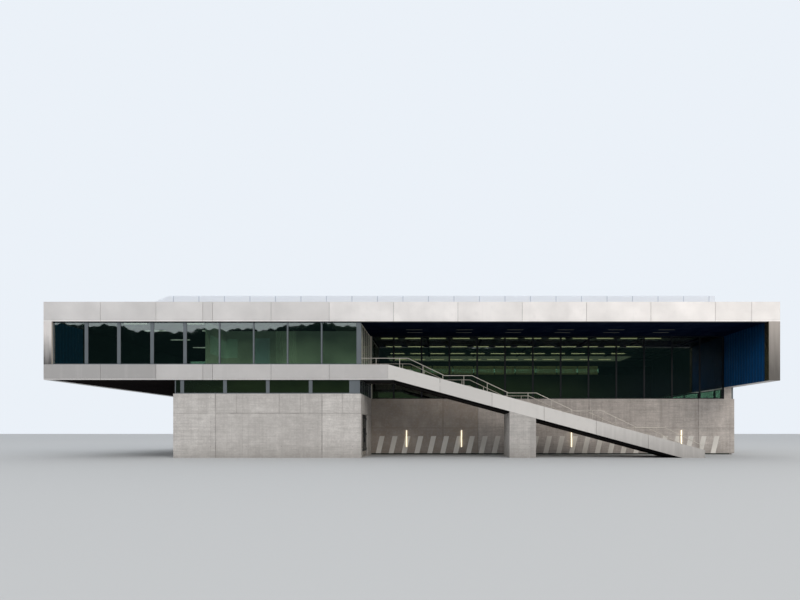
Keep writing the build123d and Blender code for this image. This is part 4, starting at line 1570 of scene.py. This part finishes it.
@dataclass
class Lamps:
    """Wall tubes, soffit lamps, hall tubes and room lamps."""

    levels: Levels
    cap_length: float = 0.02
    cap_proud: float = 0.002
    tube_radius: float = 0.024
    plate_width: float = 0.04
    plate_share: float = 0.8
    edge: float = 0.003
    rim: float = 0.006
    light_edge: float = 0.002
    hall_start: float = 0.05
    hall_end: float = 10.2
    hall_tube: float = 0.72
    hall_pitch: float = 0.98
    hall_radius: float = 0.018
    hall_gap: float = 0.002
    holder: Triple = (0.02, 0.022, 0.02)
    room_rows: tuple[float, ...] = (-5.18, -3.74, -1.6, 0.6)
    room_spans: Pairs = ((-10.3, -9.5), (-8.1, -7.45))
    room_lamp: Triple = (0.025, 0.03, 0.014)

    def build(self) -> None:
        """Builds all its pieces."""
        self.wall_tubes()
        self.soffit_lamps()
        self.hall_tubes()
        self.room_lamps()

    def wall_tubes(self) -> None:
        """Upright tubes with caps, on slim back plates."""
        glow, metal = Shape(), Shape()
        for lamp in solids("wall_lamps"):
            x, y = lamp.middle.x, lamp.low.y + self.tube_radius + self.cap_proud
            z0, z1 = lamp.low.z, lamp.high.z
            inner0, inner1 = z0 + self.cap_length, z1 - self.cap_length
            glow.tube((x, y, inner0), (x, y, inner1), self.tube_radius)
            for start, end in ((z0, inner0), (inner1, z1)):
                metal.tube((x, y, start), (x, y, end), self.tube_radius + self.cap_proud, edge=self.edge)
            low = (x - self.plate_width / 2, y + self.tube_radius * self.plate_share, z0)
            metal.box(low, (x + self.plate_width / 2, lamp.high.y, z1), self.edge)
        glow.piece("wall_lamp_tubes", WARM, stands_for=("wall_lamps",), smooth=ROUND_TO)
        metal.piece("wall_lamp_fittings", EDGE_STEEL, smooth=ROUND_TO)

    def soffit_lamps(self) -> None:
        """Slim lamps with a raised rim."""
        glow, rims = Shape(), Shape()
        for lamp in solids("soffit_lamps"):
            low, high = lamp.low, lamp.high
            inner = low + Vector((self.rim, self.rim, self.light_edge))
            glow.box(inner, (high.x - self.rim, high.y - self.rim, high.z), self.light_edge)
            rims.ring(low, high, Axis.Z, self.rim)
        glow.piece("soffit_lamp_lights", DIM, stands_for=("soffit_lamps",))
        rims.piece("soffit_lamp_rims", DARK_FRAME)

    def hall_tubes(self) -> None:
        """Rows of tubes under the hall's lamp tracks."""
        glow, caps = Shape(), Shape()
        long, half, drop = self.holder
        for track in solids("lamp_tracks"):
            y, z = track.middle.y, track.low.z - self.hall_radius - self.hall_gap
            for x in steps(track.low.x + self.hall_start, self.hall_end - self.hall_tube, self.hall_pitch):
                end = x + self.hall_tube - long
                glow.tube((x + long, y, z), (end, y, z), self.hall_radius, sides=12)
                for start in (x, end):
                    low = (start, y - half, z - drop)
                    caps.box(low, (start + long, y + half, track.low.z), self.edge)
        glow.piece("hall_lamp_tubes", HALL_GLOW, smooth=ROUND_TO)
        caps.piece("hall_lamp_holders", DARK_FRAME)

    def room_lamps(self) -> None:
        """Long lamps under the ceiling of the upper rooms."""
        glow = Shape()
        half, height, drop = self.room_lamp
        top = self.levels.ceiling - drop
        for y in self.room_rows:
            for x0, x1 in self.room_spans:
                glow.box((x0, y - half, top - height), (x1, y + half, top), edge=0.005)
        glow.piece("room_lamp_lights", ROOM_GLOW)


@dataclass
class UpperRooms:
    """What shows of the rooms behind the upper windows.

    Attributes:
        wall_end: Distance of the back wall's end from the block's right side.
        wall_boards: Start and end of two boards, the second on the partition, from the back wall.
        board_levels: Lower and upper edge of both.
        board_depths: How far they stand out.
        door_x: Left and right edge of the door.
        door_frame: Width of its frame, how far it stands out, and its gap to the wall.
        frame_reach: How far the frame goes past the door on each side, and above it.
        curtain_gaps: The curtain's distance from the back wall, the floor and the ceiling.
        fold_waves: Number and depth of the waves that make up its folds.
        sheet_inset: Distance of the ceiling sheets from the window frames.
        sheet_margins: Their distance from the left wall, and their least from the block's right side.
    """

    levels: Levels
    partition_x: float = -7.27
    partition: float = 0.06
    back_wall_y: float = -3.6
    wall_end: float = 0.3
    wall_edge: float = 0.004
    fitting_edge: float = 0.006
    wall_boards: Pairs = ((-7.2, -6.8), (1.6, 0.06))
    board_levels: Pairs = ((3.76, 4.48), (3.7, 4.36))
    board_depths: Pair = (0.03, 0.02)
    door_x: Pair = (-6.12, -5.6)
    door_top: float = 4.47
    door_depth: float = 0.02
    door_frame: Triple = (0.03, 0.03, 0.005)
    frame_reach: Pair = (0.04, 0.03)
    curtain_x: Pair = (-5.3, -4.55)
    curtain_gaps: Triple = (0.08, 0.03, 0.03)
    curtain_thickness: float = 0.004
    curtain_steps: int = 48
    fold_waves: Pairs = ((6.0, 0.02), (2.3, 0.01))
    ceiling_sheet: float = 0.012
    sheet_pitch: float = 1.2
    sheet_least: float = 0.3
    sheet_gap: float = 0.004
    sheet_inset: float = 0.055
    sheet_margins: Pair = (0.02, 0.25)

    def build(self) -> None:
        """Builds all its pieces."""
        lev = self.levels
        wall = Shape()
        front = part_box("upper_window_frames")[0].y + self.partition
        side = self.partition_x + self.partition
        top = lev.ceiling - self.ceiling_sheet
        wall.box((self.partition_x, front, lev.floor), (side, self.back_wall_y, top), self.wall_edge)
        high = (lev.block_right - self.wall_end, self.back_wall_y + self.partition, top)
        wall.box((side, self.back_wall_y, lev.floor), high, self.wall_edge)
        wall.piece("room_partitions", PLASTER)
        self.board_and_door(side)
        self.curtain()
        self.ceiling()

    def board_and_door(self, side: float) -> None:
        """Pale boards at the corner of the room, and a door in its back wall.

        Args:
            side: The partition's face in the room.
        """
        y, floor, edge = self.back_wall_y, self.levels.floor, self.fitting_edge
        (x0, x1), (far, near) = self.wall_boards
        (foot, top), (side_foot, side_top) = self.board_levels
        depth, side_depth = self.board_depths
        board = Shape()
        board.box((x0, y - depth, foot), (x1, y, top), edge)
        board.box((side, y - far, side_foot), (side + side_depth, y - near, side_top), edge)
        board.piece("room_board", BOARD)
        (x0, x1), top = self.door_x, self.door_top
        width, out, gap = self.door_frame
        reach, rise = self.frame_reach
        door = Shape()
        door.box((x0, y - self.door_depth, floor), (x1, y, top), edge)
        door.ring((x0 - reach, y - out, floor), (x1 + reach, y - gap, top + rise), Axis.Y, width)
        door.piece("room_door", ROOM_DOOR)

    def curtain(self) -> None:
        """A hanging curtain with folds."""
        x0, x1 = self.curtain_x
        gap, foot, headroom = self.curtain_gaps
        line = []
        for number in range(self.curtain_steps + 1):
            share = number / self.curtain_steps
            fold = sum(math.sin(share * math.tau * count) * depth for count, depth in self.fold_waves)
            place = (x0 + (x1 - x0) * share, self.back_wall_y - gap + fold, self.levels.floor + foot)
            line.append(place)
        shape = Shape()
        rise = self.levels.ceiling - self.levels.floor - foot - headroom
        shape.folded(line, rise, Axis.Y.run(self.curtain_thickness))
        shape.piece("room_curtain", CURTAIN, smooth=50.0)

    def ceiling(self) -> None:
        """Ceiling sheets of the two rooms."""
        z1 = self.levels.ceiling
        z0 = z1 - self.ceiling_sheet
        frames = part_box("upper_window_frames")
        start, stop = frames[0].y + self.sheet_inset, frames[1].y - self.sheet_inset
        left, right = self.sheet_margins
        gap, pitch = self.sheet_gap, self.sheet_pitch
        sheets = Shape()
        for x in steps(self.levels.inner_left + left, self.levels.block_right - right - pitch, pitch):
            for y in steps(start, stop - self.sheet_least, pitch):
                end = min(y + pitch, stop)
                sheets.box((x + gap, y + gap, z0), (x + pitch - gap, end - gap, z1), edge=0.002)
        sheets.piece("room_ceiling_sheets", INNER_DARK)


@dataclass
class PaintedBars:
    """A plain row of slanted bars painted on the recessed wall."""

    levels: Levels
    foot: float = 0.05
    top: float = 0.74
    pitch: float = 0.52
    width: float = 0.2
    lean: float = 0.16
    start: float = -1.6
    end: float = 12.5
    thickness: float = 0.0012

    def build(self) -> None:
        """Builds the one piece."""
        shape = Shape()
        y = self.levels.glass - self.thickness
        for x in steps(self.start, self.end - self.width - self.lean, self.pitch):
            lower = [(x, y, self.foot), (x + self.width, y, self.foot)]
            upper = [(x + self.width + self.lean, y, self.top), (x + self.lean, y, self.top)]
            shape.plate(lower + upper, Axis.Y, self.thickness)
        shape.piece("painted_bars", BARS)


@dataclass
class Stair:
    """Stringer, tread strips and post feet of the outside stair."""

    levels: Levels
    start: float = -0.14
    riser: float = 0.076
    going: float = 0.16
    steps: int = 8
    flights: int = 5
    landing: float = 0.97
    inset: float = 0.06
    strip_width: float = 0.022
    strip_height: float = 0.0025
    strip_setback: float = 0.006
    post_offsets: tuple[float, ...] = (-0.29, 0.53, 1.225)
    first_post: float = -1.115
    foot_radius: float = 0.03
    foot_height: float = 0.007
    bolts: int = 3
    bolt_ring: float = 0.02
    bolt_radius: float = 0.004
    bolt_height: float = 0.011
    body_start: float = -0.64
    body_depth: float = 0.062
    body_setback: float = 0.12
    body_foot: float = 0.001

    @property
    def module(self) -> float:
        """Length of a flight with its landing."""
        return self.going * self.steps + self.landing

    def level(self, x: float) -> float:
        """Height of the walking surface.

        Args:
            x: The place along the stair.

        Returns:
            Its height there.
        """
        if x < self.start:
            return self.levels.floor
        flight = int((x - self.start) // self.module)
        along = x - self.start - flight * self.module
        done = min(self.steps, math.floor(along / self.going + 0.5))
        return self.levels.floor - (flight * self.steps + done) * self.riser

    def build(self) -> None:
        """Builds all its pieces."""
        self.tread_strips()
        self.post_feet()
        self.stringer()

    def stringer(self) -> None:
        """The dark sloping body under the flights, set back from both side bands; its dark colour is painted
        shade.
        """
        low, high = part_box("stair_flight_1")
        slope = self.riser * self.steps / self.module
        top, x, y = self.levels.fascia, self.body_start, low.y + self.body_setback
        under = top - self.body_depth
        outline = [
            (x, y, top),
            (x + top / slope, y, self.body_foot),
            (x + under / slope, y, self.body_foot),
            (x, y, under),
        ]
        shape = Shape()
        shape.plate(outline, Axis.Y, high.y - low.y - 2 * self.body_setback)
        shape.piece("stair_stringer", STRINGER_SHADE)

    def tread_strips(self) -> None:
        """Dark strips along the front of each step."""
        low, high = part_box("stair_flight_1")
        y0, y1 = low.y + self.inset, high.y - self.inset
        shape = Shape()
        for step in range(self.flights * self.steps):
            flight, own = divmod(step, self.steps)
            x = self.start + flight * self.module + (own + 0.5) * self.going - self.strip_setback
            z = self.levels.floor - step * self.riser
            shape.box((x - self.strip_width, y0, z), (x, y1, z + self.strip_height), edge=0.001)
        shape.piece("tread_strips", RUBBER)

    def post_feet(self) -> None:
        """Round base plates with bolts under the guards' posts."""
        shape = Shape()
        places = [self.start + self.first_post]
        for flight in range(self.flights):
            places.extend(self.start + flight * self.module + offset for offset in self.post_offsets)
        for node in ("outer_guard", "inner_guard"):
            low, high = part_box(node)
            for x in places:
                foot = Vector((x, (low.y + high.y) / 2, self.level(x)))
                shape.tube(foot, foot + Axis.Z.run(self.foot_height), self.foot_radius, edge=0.002)
                for number in range(self.bolts):
                    angle = math.tau * number / self.bolts
                    bolt = foot + Vector((math.cos(angle), math.sin(angle), 0.0)) * self.bolt_ring
                    shape.tube(bolt, bolt + Axis.Z.run(self.bolt_height), self.bolt_radius, sides=6)
        shape.piece("post_feet", TUBE, smooth=ROUND_TO)


@dataclass
class Roof:
    """Cover strips of the lantern and the roof drains.

    Attributes:
        slope: Length of the lantern's slope at its left end.
        rail_start: Where the level strip starts, from the lantern's left end.
        end_gap: Least distance of the last strip from its right end.
        head_gap: Distance of the strips from its top.
        drain_x: Places of the drains along X.
        drain_inset: Their distance from the front and the rear.
        flange: Radius, height and softened edge of a drain's flange.
        dome: Radius, top and softened edge of its dome.
    """

    levels: Levels
    strip_width: float = 0.03
    strip_depth: float = 0.004
    pitch: float = 1.03
    slope: float = 1.885
    first_strip: float = 0.2
    rail_start: float = 0.98
    end_gap: float = 0.02
    head_gap: float = 0.012
    strip_edge: float = 0.001
    drain_x: tuple[float, ...] = (-9.6, -3.2, 3.2, 9.6)
    drain_inset: float = 0.9
    drain_sides: int = 24
    flange: Triple = (0.12, 0.02, 0.005)
    dome: Triple = (0.075, 0.07, 0.02)

    def build(self) -> None:
        """Builds all its pieces."""
        self.cover_strips()
        self.drains()

    def cover_strips(self) -> None:
        """Thin cover strips over the joints of the lantern's sheets."""
        low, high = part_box("lantern_glazing")
        faces = ((low.y - self.strip_depth, low.y), (high.y, high.y + self.strip_depth))
        half = self.strip_width / 2
        middle = (low.z + high.z) / 2
        shape = Shape()
        for x in steps(low.x + self.slope + self.first_strip, high.x - self.end_gap - half, self.pitch):
            for y0, y1 in faces:
                shape.box((x - half, y0, low.z), (x + half, y1, high.z - self.head_gap), self.strip_edge)
        for y0, y1 in faces:
            start = (low.x + self.rail_start, y0, middle - half / 2)
            shape.box(start, (high.x, y1, middle + half / 2), self.strip_edge)
        shape.piece("lantern_cover_strips", TRUSS)

    def drains(self) -> None:
        """Domed roof drains along both long sides."""
        lev = self.levels
        shape = Shape()
        for x in self.drain_x:
            for y in (lev.front + self.drain_inset, lev.rear - self.drain_inset):
                start = foot = Vector((x, y, lev.deck))
                for radius, rise, edge in (self.flange, self.dome):
                    end = foot + Axis.Z.run(rise)
                    shape.tube(start, end, radius, self.drain_sides, edge)
                    start = end
        shape.piece("roof_drains", UPSTAND, smooth=40.0)


@dataclass
class DoubleDoor:
    """Beads and kick plates of the double door, on both faces of each leaf."""

    face: float = -1.82
    thickness: float = 0.03
    plate: float = 0.0025
    bead: float = 0.012
    kick_height: float = 0.14
    kick_gap: float = 0.01
    kick_inset: float = 0.02
    kick_front: float = 0.26
    kick_rear: float = 0.18

    def build(self) -> None:
        """Builds the trim of both leaves."""
        for body, side in ((Body.FRONT_LEAF, "front"), (Body.REAR_LEAF, "rear")):
            self.trim(body, side)

    def trim(self, body: Body, side: str) -> None:
        """Trim of one leaf.

        Args:
            body: The leaf's body.
            side: Which leaf it is.
        """
        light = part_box(f"{side}_door_light")
        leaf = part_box(f"{side}_door_leaf")
        bead = Vector((0.0, self.bead, self.bead))
        y0 = max(leaf[0].y + self.kick_inset, light[0].y - self.kick_front)
        y1 = min(leaf[1].y - self.kick_inset, light[1].y + self.kick_rear)
        foot = leaf[0].z + self.kick_gap
        inner = self.face - self.thickness
        shape = Shape()
        for x0, x1 in ((self.face, self.face + self.plate), (inner - self.plate, inner)):
            low, high = light[0] - bead, light[1] + bead
            low.x, high.x = x0, x1
            shape.ring(low, high, Axis.X, self.bead)
            shape.box((x0, y0, foot), (x1, y1, foot + self.kick_height), edge=0.0008)
        shape.piece(f"{side}_leaf_trim", TUBE, body)


@dataclass
class HallInside:
    """What shows of the hall's inside: the band at the rear and the slats of the blinds, which glow as
    painted light, the blinds' closed sheet, and the ribs.

    Attributes:
        rib_ends: Distance of the ribs from the glass front, and the least of the last one from the end.
        glow_drops: How far under the ceiling the lit band starts and ends.
        closed_lap: How far the closed sheet goes past the slats, above and below.
    """

    levels: Levels
    edge: float = 0.004
    wall_gap: float = 0.02
    rib_pitch: float = 2.25
    rib_width: float = 0.09
    rib_height: float = 0.03
    rib_ends: Pair = (0.3, 0.5)
    glow_start: float = 0.1
    glow_end: float = 10.8
    glow_depth: float = 1.7
    glow_drops: Pair = (0.012, 0.05)
    blind_start: float = 0.15
    blind_end: float = 10.3
    blind_foot: float = 4.03
    blind_top: float = 4.43
    blind_setback: float = 0.03
    blind_length: float = 1.125
    blind_gap: float = 0.05
    slat_height: float = 0.05
    slat_depth: float = 0.028
    slat_pitch: float = 0.066
    closed_lap: float = 0.02
    closed_gap: float = 0.002

    def build(self) -> None:
        """Builds all its pieces."""
        lev = self.levels
        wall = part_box("hall_rear_wall")[0].y
        band = Shape()
        drop, depth = self.glow_drops
        low = (lev.block_right + self.glow_start, wall - self.glow_depth, lev.ceiling - depth)
        band.box(low, (self.glow_end, wall - self.wall_gap, lev.ceiling - drop), self.edge)
        band.piece("rear_light_band", BAND_GLOW)
        self.blinds(wall)
        ribs = Shape()
        half = self.rib_width / 2
        front, end = self.rib_ends
        for x in steps(lev.block_right + self.rib_pitch, lev.inner_right - end, self.rib_pitch):
            low = (x - half, lev.glass + front, lev.ceiling - self.rib_height)
            ribs.box(low, (x + half, wall - self.wall_gap, lev.ceiling), self.edge)
        ribs.piece("hall_ceiling_ribs", INNER_DARK)

    def blinds(self, wall: float) -> None:
        """Slats in front of the high rear windows, which glow as painted light, and a closed sheet over the
        last bays.

        Args:
            wall: Inner face of the rear wall.
        """
        slats, closed = Shape(), Shape()
        y = wall - self.blind_setback
        slat = Vector((self.blind_length - self.blind_gap, self.slat_depth, self.slat_height))
        start, length = self.levels.block_right + self.blind_start, self.blind_length
        for x in steps(start, self.blind_end - length, length):
            for z in steps(self.blind_foot, self.blind_top, self.slat_pitch):
                low = Vector((x, y, z))
                slats.box(low, low + slat, edge=0.002)
        slats.piece("hall_blind_slats", SLAT_GLOW)
        lap = self.closed_lap
        high = (self.levels.inner_right - lap, wall - self.closed_gap, self.blind_top + lap)
        closed.box((x + length, y, self.blind_foot - lap), high, edge=0.003)
        closed.piece("hall_blind_closed", INNER_DARK)


@dataclass(frozen=True)
class AreaLight:
    """A square area light with its size in metres and its power in watts."""

    name: str
    place: Triple
    aim: Triple
    power: float
    color: Color
    size: float = 26.0

    def build(self) -> None:
        """Adds the light to the scene."""
        data = bpy.data.lights.new(self.name, "AREA")
        data.size = self.size
        data.energy = self.power
        data.color = self.color
        light = bpy.data.objects.new(self.name, data)
        light.location = self.place
        aim = Vector(self.aim) - Vector(self.place)
        light.rotation_euler = aim.to_track_quat("-Z", "Y").to_euler()
        bpy.context.scene.collection.objects.link(light)


@dataclass
class Studio:
    """Floor, backdrop, light and camera.

    Attributes:
        rim_share: Share of the radius behind which the rim has no part.
        rim_waves: Number, phase and height of the waves along the rim's upper edge.
        rim_levels: Levels where its upper colour starts and is full.
        rim_play: How far those levels wander.
        green_from: Places along X where its green part starts and is full.
        green_to: Places along X where that part ends and is still full.
        dip_turn: Where the rim dips, as an angle.
    """

    levels: Levels
    lights: tuple[AreaLight, ...] = (
        AreaLight("key", (34.0, -46.0, 30.0), (6.0, -5.0, 3.0), 9000.0, (1.0, 0.94, 0.87)),
        AreaLight("side", (-40.0, -38.0, 34.0), (-6.0, -5.0, 3.0), 3200.0, (0.92, 0.96, 1.0)),
    )
    floor_size: float = 500.0
    floor_drop: float = 0.0005
    floor_color: Color = (0.5, 0.5, 0.49)
    sky: Color = (0.83, 0.88, 0.94)
    fill: Color = (0.9, 0.94, 1.0)
    fill_strength: float = 1.0
    rim_radius: float = 70.0
    rim_steps: int = 2400
    rim_height: float = 15.35
    rim_share: float = 0.2
    rim_waves: tuple[Triple, ...] = (
        (9, 4.87, 1.1),
        (31, 1.0, 0.22),
        (83, 0.0, 0.14),
        (197, 0.0, 0.12),
        (409, 0.0, 0.09),
    )
    rim_color: Color = (0.004, 0.006, 0.006)
    rim_high: Color = (0.006, 0.014, 0.014)
    rim_low: Color = (0.014, 0.022, 0.024)
    rim_green: Color = (0.044, 0.07, 0.034)
    rim_levels: Pair = (8.5, 11.5)
    rim_play: float = 3.0
    green_from: Pair = (-38.0, -26.0)
    green_to: Pair = (30.0, 10.0)
    dip_turn: float = -2.3
    dip_depth: float = 1.6
    dip_width: float = 0.1
    lens: float = 25.74
    sensor: float = 36.0
    sight: float = 1000.0
    shift_x: float = -0.0475
    shift_y: float = 0.165
    camera_x: float = 0.914
    camera_z: float = 0.905
    camera_distance: float = 20.0

    def build(self) -> None:
        """Builds the stage."""
        bpy.context.scene.view_settings.view_transform = "Standard"
        self.floor()
        self.rim()
        self.world()
        for light in self.lights:
            light.build()
        self.camera()

    def stand(self, name: str, mesh: bmesh.types.BMesh, inputs: Inputs) -> bpy.types.Object:
        """Turns a mesh into a painted part of the stage.

        Args:
            name: Name of the part.
            mesh: Its mesh.
            inputs: Values of its shader.

        Returns:
            The new object.
        """
        data = bpy.data.meshes.new(name)
        mesh.to_mesh(data)
        mesh.free()
        made = bpy.data.materials.new(f"{name}_paint")
        Paint(made).give(inputs)
        data.materials.append(made)
        part = bpy.data.objects.new(name, data)
        bpy.context.scene.collection.objects.link(part)
        return part

    def floor(self) -> None:
        """A plain pale floor."""
        mesh = bmesh.new()
        bmesh.ops.create_grid(mesh, x_segments=1, y_segments=1, size=self.floor_size / 2)
        bmesh.ops.translate(mesh, verts=mesh.verts, vec=Axis.Z.run(-self.floor_drop))
        values = {"Base Color": self.floor_color, "Roughness": 0.95, "Specular IOR Level": 0.1}
        self.stand("floor", mesh, values)

    def rim_top(self, place: Vector) -> float:
        """Height of the rim's upper edge.

        Args:
            place: A place on the rim.

        Returns:
            The height there.
        """
        turn = math.atan2(place.y, place.x)
        waves = sum(math.sin(turn * count + phase) * height for count, phase, height in self.rim_waves)
        dip = math.exp(-(((turn - self.dip_turn) / self.dip_width) ** 2))
        return self.rim_height + waves - self.dip_depth * dip

    def rim(self) -> None:
        """A dark low rim round the studio that only reflections show."""
        mesh = bmesh.new()
        made = bmesh.ops.create_circle(mesh, segments=self.rim_steps, radius=self.rim_radius)
        behind = [vert for vert in made["verts"] if vert.co.y > -self.rim_radius * self.rim_share]
        bmesh.ops.delete(mesh, geom=behind, context="VERTS")
        raised = bmesh.ops.extrude_edge_only(mesh, edges=mesh.edges)
        for item in raised["geom"]:
            if isinstance(item, bmesh.types.BMVert):
                item.co.z = self.rim_top(item.co)
        values = {"Base Color": self.rim_color, "Emission Strength": 1.0, "Specular IOR Level": 0.0}
        part = self.stand("reflection_rim", mesh, values)
        part.visible_camera = part.visible_diffuse = part.visible_shadow = False
        paint = Paint(part.data.materials[0])
        ragged = paint.times(paint.noise(scale=0.25, detail=3.0), self.rim_play)
        high = paint.span(paint.math("ADD", paint.along(Axis.Z), ragged), *self.rim_levels)
        right = paint.span(paint.along(Axis.X), *self.green_from)
        green = paint.times(right, paint.span(paint.along(Axis.X), *self.green_to))
        tone = paint.layered(self.rim_low, (green, 1.0, self.rim_green), (high, 1.0, self.rim_high))
        paint.give({"Emission Color": tone})

    def world(self) -> None:
        """A pale background that mirrors and glass show too, and soft light from all sides."""
        world = bpy.data.worlds.new("studio")
        bpy.context.scene.world = world
        world.use_nodes = True
        graph = Graph(world.node_tree)
        rays = graph.node("LightPath").outputs
        seen = graph.most(rays["Is Camera Ray"], rays["Is Glossy Ray"], rays["Is Transmission Ray"])
        strength = graph.span(seen, 0.0, 1.0, self.fill_strength, 1.0)
        background = {"Color": graph.blend(seen, self.fill, self.sky), "Strength": strength}
        graph.feed(world.node_tree.nodes["Background"], background)

    def camera(self) -> None:
        """The photograph's camera: level, square to the front, with a shift."""
        data = bpy.data.cameras.new("camera")
        data.lens = self.lens
        data.sensor_width = self.sensor
        data.shift_x = self.shift_x
        data.shift_y = self.shift_y
        data.clip_end = self.sight
        camera = bpy.data.objects.new("camera", data)
        camera.location = (self.camera_x, self.levels.front - self.camera_distance, self.camera_z)
        camera.rotation_euler = (math.radians(90.0), 0.0, 0.0)
        bpy.context.scene.collection.objects.link(camera)
        bpy.context.scene.camera = camera


def main() -> None:
    """Builds the finishes, the pieces and the stage in order."""
    logging.basicConfig(level=logging.INFO, format="%(message)s")
    Effect.build_all()
    levels = Levels.read()
    dress_nodes()
    for assembly in (
        Cladding(levels),
        Windows(levels),
        RibbedSheets(levels),
        Soffits(),
        Lamps(levels),
        UpperRooms(levels),
        PaintedBars(levels),
        Stair(levels),
        Roof(levels),
        DoubleDoor(),
        HallInside(levels),
        Studio(levels),
    ):
        assembly.build()


if __name__ == "__main__":
    main()
